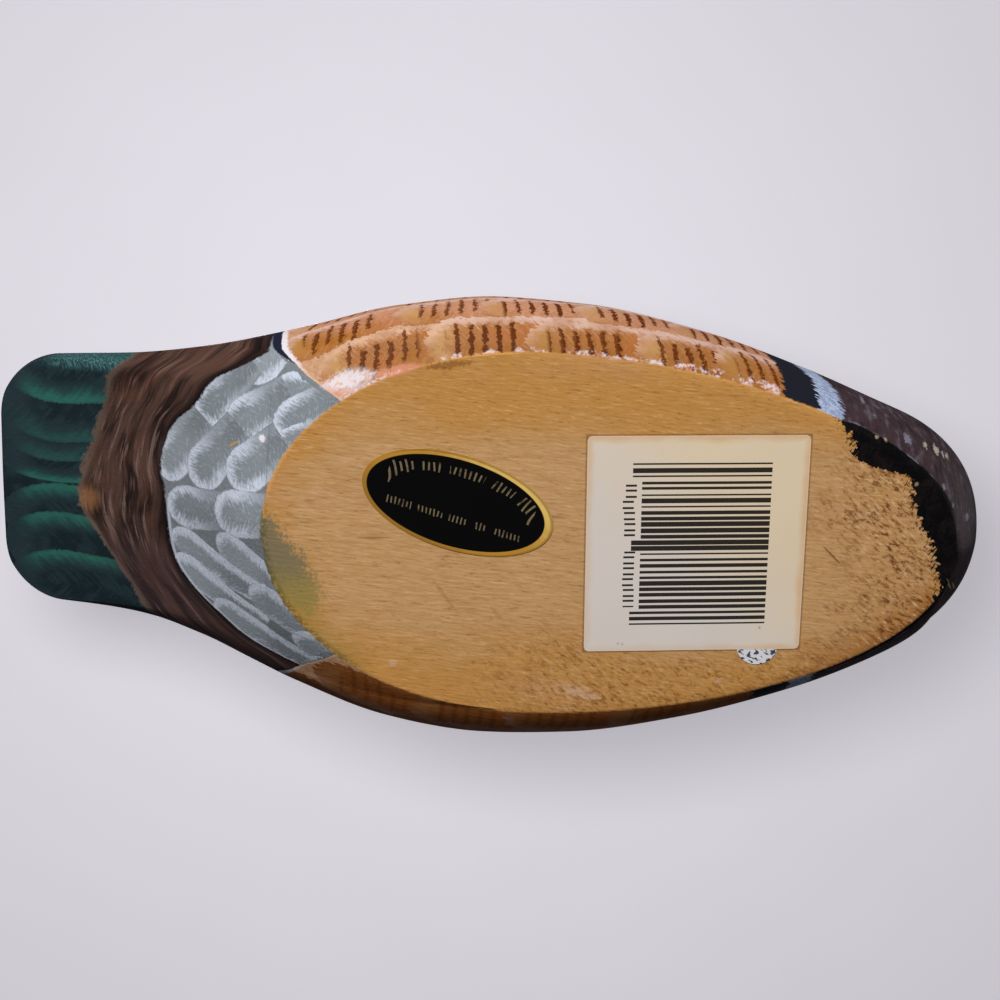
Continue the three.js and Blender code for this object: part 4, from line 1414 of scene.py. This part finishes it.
def even_outline(points, count):
    """The same closed outline with evenly spaced points."""
    run = np.append(0, np.cumsum(np.hypot(*np.diff(points, axis=0).T)))
    at = np.linspace(0, run[-1], count + 1)
    return np.stack([np.interp(at, run, points[:, 0]), np.interp(at, run, points[:, 1])], axis=-1)


def oval_outline():
    turn = np.linspace(0, 2 * math.pi, 193)
    return np.stack([OVAL_HALF_LENGTH * np.cos(turn), OVAL_HALF_WIDTH * np.sin(turn)], axis=-1)


def round_outline():
    """What shows of the small round label past the square label's edge."""
    turn = np.linspace(0, 2 * math.pi, 721)
    circle = np.array(ROUND_AT) + ROUND_RADIUS * np.stack([np.cos(turn), np.sin(turn)], axis=-1)
    cos, sin = math.cos(SQUARE_TURN), math.sin(SQUARE_TURN)
    from_square = circle - SQUARE_AT
    along = from_square @ [cos, sin]
    out = np.maximum(from_square @ [-sin, cos], SQUARE_SIDE / 2 + 0.05)
    shown = np.array(SQUARE_AT) + np.outer(along, [cos, sin]) + np.outer(out, [-sin, cos])
    centre = (shown.max(axis=0) + shown.min(axis=0)) / 2
    return even_outline(shown, 120) - centre, centre


def label(name, outline, at, turn, thickness, lift):
    """A thin plate whose rings shrink to the middle on both faces. Its lower face waves by the lift."""
    shares = np.linspace(0.03, 1, 30)
    flat = np.concatenate([shares, shares[::-2]])[:, None, None] * outline[None]
    cos, sin = math.cos(turn), math.sin(turn)
    x = at[0] + flat[..., 0] * cos - flat[..., 1] * sin
    y = at[1] + flat[..., 0] * sin + flat[..., 1] * cos
    wave = lift * (0.5 + 0.5 * np.sin(x * 0.31 + 1) * np.sin(y * 0.23 + 2))
    z = np.where(np.arange(len(flat))[:, None] < len(shares), wave, thickness + lift)
    fields = {}
    for axis, field in enumerate(("label_x", "label_y")):
        hub = flat[:1, :, axis] * 0
        fields[field] = np.concatenate([hub, flat[..., axis], hub])
    return loft(name, with_hubs(np.stack([x, y, z], axis=-1)), fields)


def square_coat(palette, bar_spacing):
    """Yellowed paper with plain printed bars of uneven width and a column of short dashes."""
    coat = Coat("cream_paper", **{"Specular IOR Level": 0.12})
    x, y = coat.field("label_x"), coat.field("label_y")
    blotch = coat.noise(9, detail=4, shift=1.0)
    fibre = coat.noise(0.4, detail=3)
    to_edge = SQUARE_SIDE / 2 - coat.most(coat.size_of(x), coat.size_of(y))
    yellowed = coat.fade(x - y + (blotch - 0.5) * 16, -18, 20)
    paper = coat.mix(yellowed, palette.paper, palette.paper_aged)
    stain = coat.fade(to_edge + (blotch - 0.5) * 3, 1.7, 0)
    paper = coat.mix(stain * (coat.fade(x - y, -30, 10) * 0.45 + 0.4), paper, palette.paper_edge)
    paper = coat.mix(coat.fade(to_edge, 0.3, 0.12) * 0.4, paper, palette.paper)
    from_middle = coat.size_of(y)
    step = (y + BARS_HALF_HEIGHT) * (1 / bar_spacing)
    cell = coat.math("FLOOR", step)
    width = coat.math("FLOOR", coat.chance(cell + 64) * 3.99) * 0.09 + 0.14
    shift = (coat.chance(cell + 15) - 0.5) * 0.16
    printed = coat.math("LESS_THAN", coat.size_of(coat.math("FRACT", step) - 0.5 + shift), width)
    long = coat.most(
        coat.math("GREATER_THAN", from_middle, BARS_HALF_HEIGHT - LONG_BARS_HEIGHT),
        coat.math("LESS_THAN", from_middle, bar_spacing))
    in_bars = coat.math("GREATER_THAN", x, long * (LONG_BARS_START - BARS_START) + BARS_START)
    in_bars = in_bars * coat.math("LESS_THAN", x, BARS_END)
    in_bars = in_bars * coat.math("LESS_THAN", from_middle, BARS_HALF_HEIGHT)
    place = (y + DASHES_HALF_HEIGHT) * (1 / DASHES_PITCH)
    off_centre = coat.math("FRACT", place) - 0.5
    dash = coat.math("LESS_THAN", coat.size_of(coat.size_of(off_centre) - 0.22), 0.095)
    which = coat.math("FLOOR", place) * 2 + coat.math("SIGN", off_centre)
    uneven = (coat.chance(which + 40) - 0.5) * 0.7
    dash = dash * coat.math("LESS_THAN", coat.size_of(x - DASHES_AT + uneven), 1)
    dash = dash * coat.math("LESS_THAN", from_middle, DASHES_HALF_HEIGHT)
    dash = dash * coat.math("GREATER_THAN", from_middle, bar_spacing)
    ink = coat.most(in_bars * printed, dash) * coat.fade(fibre, 0.16, 0.26)
    specks = coat.spots([(50.6, 15.2, 0.15), (24.6, 19.2, 0.1), (25.4, 19.3, 0.1)], 0)
    coat.colour(coat.mix(ink * 0.97, coat.mix(specks * 0.7, paper, palette.ink), palette.ink))
    coat.roughness(0.6)
    coat.bump(fibre, 0.03, 0.4)
    return coat


def printed_row(coat, along, aside, half_tall, pitch, gaps):
    """A row of plain upright strokes of uneven height and lean, with gaps."""
    count = along * (1 / pitch)
    cell = coat.math("FLOOR", count)
    lean = aside * ((coat.chance(cell + 7) - 0.5) * 0.35)
    stroke = coat.math("LESS_THAN", coat.size_of(coat.math("FRACT", count) - 0.5 + lean), 0.17)
    tall = (coat.chance(cell + 31) * 0.35 + 0.65) * half_tall
    mark = stroke * coat.math("LESS_THAN", coat.size_of(aside), tall)
    for gap in gaps:
        mark = mark * coat.math("GREATER_THAN", coat.size_of(along - gap), 0.62)
    return mark


def oval_coat(palette):
    """Black foil with a gold rim, and two rows of small uneven gold strokes. The rim has a painted
    highlight on one side, painted shade on the other, and a darker outer border.
    """
    coat = Coat("black_foil", **{"Specular IOR Level": 0.2})
    x, y = coat.field("label_x"), coat.field("label_y")
    across = (x + 0.35) * (1 / (OVAL_HALF_LENGTH - 1.1))
    up = (y - 0.14) * (1 / (OVAL_HALF_WIDTH - 0.75))
    reach = coat.length_of(across, up)
    rim = coat.fade(reach, 0.99, 1.0)
    wear = coat.noise(1.6, detail=4, shift=6.0)
    on_row = coat.length_of(x * (1 / ROW_HALF_LENGTH), y * (1 / ROW_HALF_WIDTH))
    outwards = (on_row - 1) * ROW_HALF_WIDTH
    bent = x * (1 - outwards * 0.06)
    upper = printed_row(coat, bent, outwards + 0.15, 0.9, 0.94, (-8.8, -3.9, 3.8, 9.6))
    upper = upper * coat.math("LESS_THAN", y, 0) * coat.math("LESS_THAN", coat.size_of(x), 13.6)
    lower = printed_row(coat, x - y * 0.12, y - 2.9, 0.72, 0.72, (-7.6, -1.8, 2.9, 6.4))
    lower = lower * coat.math("LESS_THAN", coat.size_of(x), 12.7)
    faint = coat.most(upper, lower) * coat.fade(wear, 0.25, 0.55) * 0.75
    # Painted light on the gold rim: a painted highlight where x - 2y is high, painted shade where it is
    # low
    slope = x - y * 2
    lit = coat.fade(slope + (wear - 0.5) * 16, 4, 26)
    lit = coat.mix(lit, palette.foil_gold, palette.foil_bright)
    shaded = coat.fade(slope + (wear - 0.5) * 12, -4, -24) * 0.55
    lit = coat.mix(shaded, lit, palette.foil_dark)
    # The rim's thin darker outer border, in the same dark gold
    lit = coat.mix(coat.fade(reach, 1.045, 1.075) * 0.6, lit, palette.foil_dark)
    coat.colour(coat.mix(rim, coat.mix(faint, palette.foil_black, palette.foil_pale), lit))
    coat.roughness(coat.math("MULTIPLY_ADD", rim, 0.1, 0.22))
    coat.bump(rim * 0.7 + wear * 0.3, 0.04, 0.5)
    return coat


def round_coat(palette):
    """White paper with scattered dark blue marks."""
    coat = Coat("white_paper")
    marks = coat.noise(0.6, stretch=(1.6, 1, 1), turn=20, detail=3, shift=8.0)
    coat.colour(coat.mix(coat.fade(marks, 0.54, 0.58), palette.paper_white, palette.ink_blue))
    coat.roughness(0.6)
    coat.bump(marks, 0.03, 0.4)
    return coat


class BuildLabels(bpy.types.Operator):
    """Sticks the square, oval and round labels under the base"""

    bl_idname = "duck.build_labels"
    bl_label = "Labels"

    def execute(self, context):
        palette, sizes = context.scene.duck_paints.shades(), context.scene.duck_sizes.drawn()
        thickness = sizes.label_thickness
        outline = square_outline()
        square = label("duck_square_label", outline, SQUARE_AT, SQUARE_TURN, thickness, SQUARE_LIFT)
        finished(square, square_coat(palette, sizes.printed_bar_spacing), "cream_paper", "square_label")
        oval = label("duck_oval_label", oval_outline(), OVAL_AT, OVAL_TURN, thickness, OVAL_LIFT)
        finished(oval, oval_coat(palette), "black_foil", "oval_label")
        outline, centre = round_outline()
        small = label("duck_round_label", outline, centre, 0, thickness, 0)
        finished(small, round_coat(palette), "white_paper", "round_label")
        return {"FINISHED"}


# The studio

CAMERA_AT = (-9.9, -49.7, -199.5)
CAMERA_RIGHT, CAMERA_UP = (0.9976, -0.0517, -0.0462), (-0.0408, -0.9764, 0.2121)
CAMERA_LENS = 41.4
BACKDROP_HEIGHT = 350
WALL_RADIUS, WALL_HEIGHT = 2600, 3000
FLOOR_REACH = 3000
BACKDROP_LOW, BACKDROP_HIGH = (-280, -240), (330, 370)
FLOOR_GLOW, WALL_GLOW, BACKDROP_GLOW = 0.16, 0.62, 0.55
SENSOR_WIDTH_MM, CLIP_START_M = 36, 0.005
AIR_COLOUR, AIR_STRENGTH = (0.95, 0.93, 1.0, 1), 0.07
DUCK_MIDDLE = (0, 5, 15)


def one_sided(name, shade, glow):
    """A plain surface that shows only its front, so that the other side can be looked through."""
    coat = Coat(name, **{"Emission Strength": glow, "Roughness": 0.9})
    coat.material.cycles.emission_sampling = "NONE"
    cloudy = coat.noise(70, detail=2)
    tint = coat.mix(cloudy, shade, tuple(value * 0.97 for value in shade))
    coat.colour(tint)
    coat.feed(coat.skin.inputs["Emission Color"], tint)
    output = next(node for node in coat.nodes if node.type == "OUTPUT_MATERIAL")
    clear = coat.nodes.new("ShaderNodeBsdfTransparent")
    blend = coat.nodes.new("ShaderNodeMixShader")
    back = coat.nodes.new("ShaderNodeNewGeometry")
    coat.links.new(back.outputs["Backfacing"], blend.inputs[0])
    coat.links.new(coat.skin.outputs["BSDF"], blend.inputs[1])
    coat.links.new(clear.outputs["BSDF"], blend.inputs[2])
    coat.links.new(blend.outputs["Shader"], output.inputs["Surface"])
    return coat


def staged(piece, name, inside_out, coat):
    """Makes the piece a part of the studio that only the camera sees: it blocks and bounces no light."""
    piece.name = piece.data.name = name
    if inside_out:
        piece.data.flip_normals()
    piece.data.materials.append(coat.material)
    piece.visible_shadow = False
    piece.visible_diffuse = False
    piece.visible_glossy = False
    piece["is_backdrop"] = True
    return piece


def wall(coat):
    """A round pale wall far from the duck. It faces inwards."""
    nothing_selected()
    bpy.ops.mesh.primitive_cylinder_add(
        vertices=96, radius=WALL_RADIUS * MM, depth=WALL_HEIGHT * MM, end_fill_type="NOTHING",
        location=(0, 0, WALL_HEIGHT * MM / 2))
    bpy.ops.object.shade_smooth()
    return staged(bpy.context.object, "wall", True, coat)


def board(name, low, high, height, facing_down, coat):
    """A flat surface of the studio."""
    nothing_selected()
    bpy.ops.mesh.primitive_plane_add(size=1)
    plane = bpy.context.object
    points = points_of(plane) * MM + 0.5
    x = low[0] + points[:, 0] * (high[0] - low[0])
    y = low[1] + points[:, 1] * (high[1] - low[1])
    set_points(plane, np.stack([x, y, np.full_like(x, height)], axis=-1))
    return staged(plane, name, facing_down, coat)


def lamp(name, at, towards, size, power, lit_only=None):
    """A soft round lamp between two places. It lights all pieces, or only those that it is given."""
    nothing_selected()
    bpy.ops.object.light_add(type="AREA")
    light = bpy.context.object
    light.name = light.data.name = name
    light.data.shape = "DISK"
    light.data.size = size * MM
    light.data.energy = power
    light.location = Vector(at) * MM
    light.rotation_mode = "QUATERNION"
    light.rotation_quaternion = (Vector(towards) - Vector(at)).to_track_quat("-Z", "Y")
    if lit_only:
        group = bpy.data.collections.new(f"lit_by_{name}")
        for piece in lit_only:
            group.objects.link(piece)
        light.light_linking.receiver_collection = group
    light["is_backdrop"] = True


class BuildStage(bpy.types.Operator):
    """Sets up the pale studio, its soft lamps and the camera under the duck"""

    bl_idname = "duck.build_stage"
    bl_label = "Studio"

    def execute(self, context):
        studio = context.scene.duck_paints.shades().studio
        pieces = list(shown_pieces())
        low, high = (-FLOOR_REACH, -FLOOR_REACH), (FLOOR_REACH, FLOOR_REACH)
        floor = board("floor", low, high, 0, False, one_sided("pale_floor", studio, FLOOR_GLOW))
        wall(one_sided("pale_wall", studio, WALL_GLOW))
        coat = one_sided("pale_backdrop", studio, BACKDROP_GLOW)
        backdrop = board("backdrop", BACKDROP_LOW, BACKDROP_HIGH, BACKDROP_HEIGHT, True, coat)
        right, up = Vector(CAMERA_RIGHT).normalized(), Vector(CAMERA_UP).normalized()
        back = right.cross(up).normalized()
        up = back.cross(right)
        eye = Vector(CAMERA_AT)
        middle = Vector(DUCK_MIDDLE)
        key = middle + (up * 0.62 - right * 0.2 + back * 0.76) * 900
        lamp("key_lamp", key, middle, 420, 9.5, [*pieces, floor])
        beside_camera = eye - right * 14 + up * 13
        lamp("shadow_lamp", beside_camera, eye - back * 300 - right * 60 - up * 60, 34, 1.35, [backdrop])
        lamp("top_lamp", (-150, 180, 900), (-40, 60, 30), 500, 6.0)
        lamp("front_lamp", (900, -100, 300), (0, 0, 30), 400, 0.3)
        bpy.ops.object.camera_add()
        camera = bpy.context.object
        camera.name = camera.data.name = "camera"
        camera.data.lens = CAMERA_LENS
        camera.data.sensor_width = SENSOR_WIDTH_MM
        camera.data.clip_start = CLIP_START_M
        turn = Matrix((right, up, back)).transposed().to_4x4()
        camera.matrix_world = Matrix.Translation(eye * MM) @ turn
        context.scene.camera = camera
        world = bpy.data.worlds.new("studio_air")
        world.use_nodes = True
        air = world.node_tree.nodes["Background"]
        air.inputs["Color"].default_value = AIR_COLOUR
        air.inputs["Strength"].default_value = AIR_STRENGTH
        context.scene.world = world
        context.scene.view_settings.view_transform = "Standard"
        return {"FINISHED"}


# Sizes and colours that a user may change

def size(label, drawn):
    return bpy.props.FloatProperty(
        name=label, description=f"{label} of the made duck", unit="LENGTH", precision=6, min=1e-6,
        default=drawn * MM)


def under_own_names(group, kind, convert):
    """All of a group's values, converted, under their own names."""
    names = type(group).__annotations__
    values = (convert(getattr(group, name)) for name in names)
    return NamedTuple(kind, [(name, object) for name in names])(*values)


class DuckSizes(bpy.types.PropertyGroup):
    """The lengths of the duck's finer details"""

    eye_radius: size("Eye radius", 3.2)
    label_thickness: size("Label thickness", 0.12)
    flank_bar_spacing: size("Flank bar spacing", 2.45)
    printed_bar_spacing: size("Printed bar spacing", 1.1)
    brush_depth: size("Brush stroke depth", 0.12)

    def drawn(self):
        """Every length in millimetres as drawn."""
        return under_own_names(self, "Drawn", lambda length: length / MM)


def paint(label, red, green, blue):
    return bpy.props.FloatVectorProperty(
        name=label, description=f"{label} paint", subtype="COLOR", size=3, min=0, max=1,
        default=swatch(red, green, blue))


class DuckPaints(bpy.types.PropertyGroup):
    """The colours of the paint, the wood, the labels and the studio"""

    flank_orange: paint("Flank orange", 176, 94, 40)
    flank_buff: paint("Flank buff", 166, 110, 64)
    flank_gold: paint("Flank gold", 160, 100, 40)
    flank_pink: paint("Flank pink", 196, 142, 114)
    flank_cream: paint("Flank cream", 196, 156, 104)
    flank_ochre: paint("Flank ochre", 174, 126, 64)
    flank_rim: paint("Feather rim", 218, 180, 152)
    flank_frost: paint("Feather rim, upper rows", 214, 187, 178)
    # Also the colour of the painted shade on the flanks
    flank_deep: paint("Flank deep", 128, 66, 24)
    flank_worn: paint("Flank worn pink", 222, 146, 120)
    flank_bar: paint("Flank bar", 88, 36, 3)
    flank_white: paint("Flank edge", 226, 220, 226)
    flank_line: paint("Line behind the flank", 30, 34, 52)
    belly_grey: paint("Belly grey", 136, 143, 148)
    belly_dark: paint("Belly dark grey", 120, 127, 132)
    # Also the colour of the painted shade along the belly feathers' outlines
    belly_shadow: paint("Belly feather root", 98, 103, 106)
    belly_pale: paint("Belly edge", 200, 207, 221)
    rump_dark: paint("Rump dark", 36, 27, 25)
    rump_brown: paint("Rump brown", 82, 60, 52)
    rump_light: paint("Rump light", 128, 104, 96)
    rump_red: paint("Rump red", 92, 58, 44)
    rump_rim: paint("Rump rim", 112, 98, 86)
    # The colour of the painted highlight on the rump by the tail
    rump_warm: paint("Rump warm", 178, 124, 84)
    tail_deep: paint("Tail deep", 18, 30, 34)
    tail_dark: paint("Tail dark", 29, 46, 50)
    tail_slate: paint("Tail slate", 46, 57, 63)
    tail_teal: paint("Tail teal", 40, 82, 76)
    tail_emerald: paint("Tail emerald", 46, 102, 90)
    tail_pale: paint("Tail pale edge", 92, 146, 146)
    breast_dark: paint("Breast dark", 50, 38, 40)
    breast_brown: paint("Breast brown", 76, 59, 63)
    breast_speck: paint("Breast speck", 140, 134, 150)
    breast_cream: paint("Breast cream speck", 196, 186, 172)
    bar_black: paint("Black", 12, 11, 13)
    bar_navy: paint("Navy black", 32, 33, 42)
    bar_pale: paint("Pale bar", 176, 190, 214)
    bar_shade: paint("Pale bar shade", 140, 152, 184)
    back_dark: paint("Back dark", 44, 40, 44)
    back_bronze: paint("Back bronze", 70, 60, 50)
    back_edge: paint("Back feather edge", 96, 104, 104)
    wood_light: paint("Wood light", 212, 166, 116)
    wood_dark: paint("Wood dark", 192, 146, 92)
    wood_golden: paint("Wood golden", 212, 154, 80)
    wood_amber: paint("Wood amber", 186, 128, 60)
    wood_pale: paint("Wood pale", 228, 196, 152)
    wood_rosy: paint("Wood rosy", 204, 152, 112)
    wood_russet: paint("Wood russet", 150, 94, 58)
    wood_pore: paint("Wood pore", 104, 56, 18)
    wood_stain: paint("Wood stain", 158, 128, 58)
    olive_grey: paint("Old olive grey", 112, 112, 92)
    olive: paint("Old olive", 150, 134, 74)
    olive_dark: paint("Old dark green", 72, 78, 48)
    head_green: paint("Crown green", 22, 72, 52)
    head_teal: paint("Crown teal", 24, 54, 62)
    head_purple: paint("Cheek purple", 58, 38, 70)
    head_dark: paint("Cheek dark", 28, 28, 36)
    head_white: paint("Head white", 232, 230, 224)
    bill_red: paint("Bill red", 178, 52, 40)
    bill_pale: paint("Bill pale", 226, 200, 190)
    bill_yellow: paint("Bill yellow", 214, 178, 76)
    eye_red: paint("Eye red", 176, 40, 26)
    eye_dark: paint("Eye dark red", 120, 20, 14)
    paper: paint("Label paper", 228, 217, 208)
    paper_aged: paint("Label aged paper", 236, 215, 184)
    paper_edge: paint("Label edge", 226, 184, 134)
    paper_white: paint("White label", 232, 232, 234)
    ink: paint("Black ink", 16, 12, 9)
    ink_blue: paint("Blue ink", 60, 66, 90)
    foil_black: paint("Foil black", 10, 9, 9)
    foil_gold: paint("Foil gold", 196, 142, 52)
    # The foil rim's painted highlight, then its painted shade, whose colour is also the rim's darker
    # outer border
    foil_bright: paint("Foil bright gold", 240, 202, 112)
    foil_dark: paint("Foil dark gold", 128, 88, 36)
    foil_pale: paint("Foil faded print", 146, 128, 96)
    studio: paint("Studio", 226, 222, 230)

    def shades(self):
        """Every colour as a plain tuple."""
        return under_own_names(self, "Shades", tuple)


class DuckPanel(bpy.types.Panel):
    """Buttons for the duck's pieces, its sizes and its colours"""

    bl_idname = "DUCK_PT_pieces"
    bl_label = "Painted duck"
    bl_space_type = "VIEW_3D"
    bl_region_type = "UI"
    bl_category = "Duck"

    def draw(self, context):
        for operator in OPERATORS:
            self.layout.operator(operator.bl_idname)
        for name in DuckSizes.__annotations__:
            self.layout.prop(context.scene.duck_sizes, name)
        for name in DuckPaints.__annotations__:
            self.layout.prop(context.scene.duck_paints, name)


OPERATORS = (BuildBody, BuildHead, BuildEyes, BuildLabels, BuildStage)
CLASSES = (DuckSizes, DuckPaints, *OPERATORS, DuckPanel)


def register():
    for item in CLASSES:
        bpy.utils.register_class(item)
    bpy.types.Scene.duck_sizes = bpy.props.PointerProperty(type=DuckSizes)
    bpy.types.Scene.duck_paints = bpy.props.PointerProperty(type=DuckPaints)


def unregister():
    del bpy.types.Scene.duck_sizes
    del bpy.types.Scene.duck_paints
    for item in reversed(CLASSES):
        bpy.utils.unregister_class(item)


def main():
    register()
    bpy.ops.duck.build_body()
    bpy.ops.duck.build_head()
    bpy.ops.duck.build_eyes()
    bpy.ops.duck.build_labels()
    bpy.ops.duck.build_stage()
    bpy.context.view_layer.update()


if __name__ == "__main__":
    main()
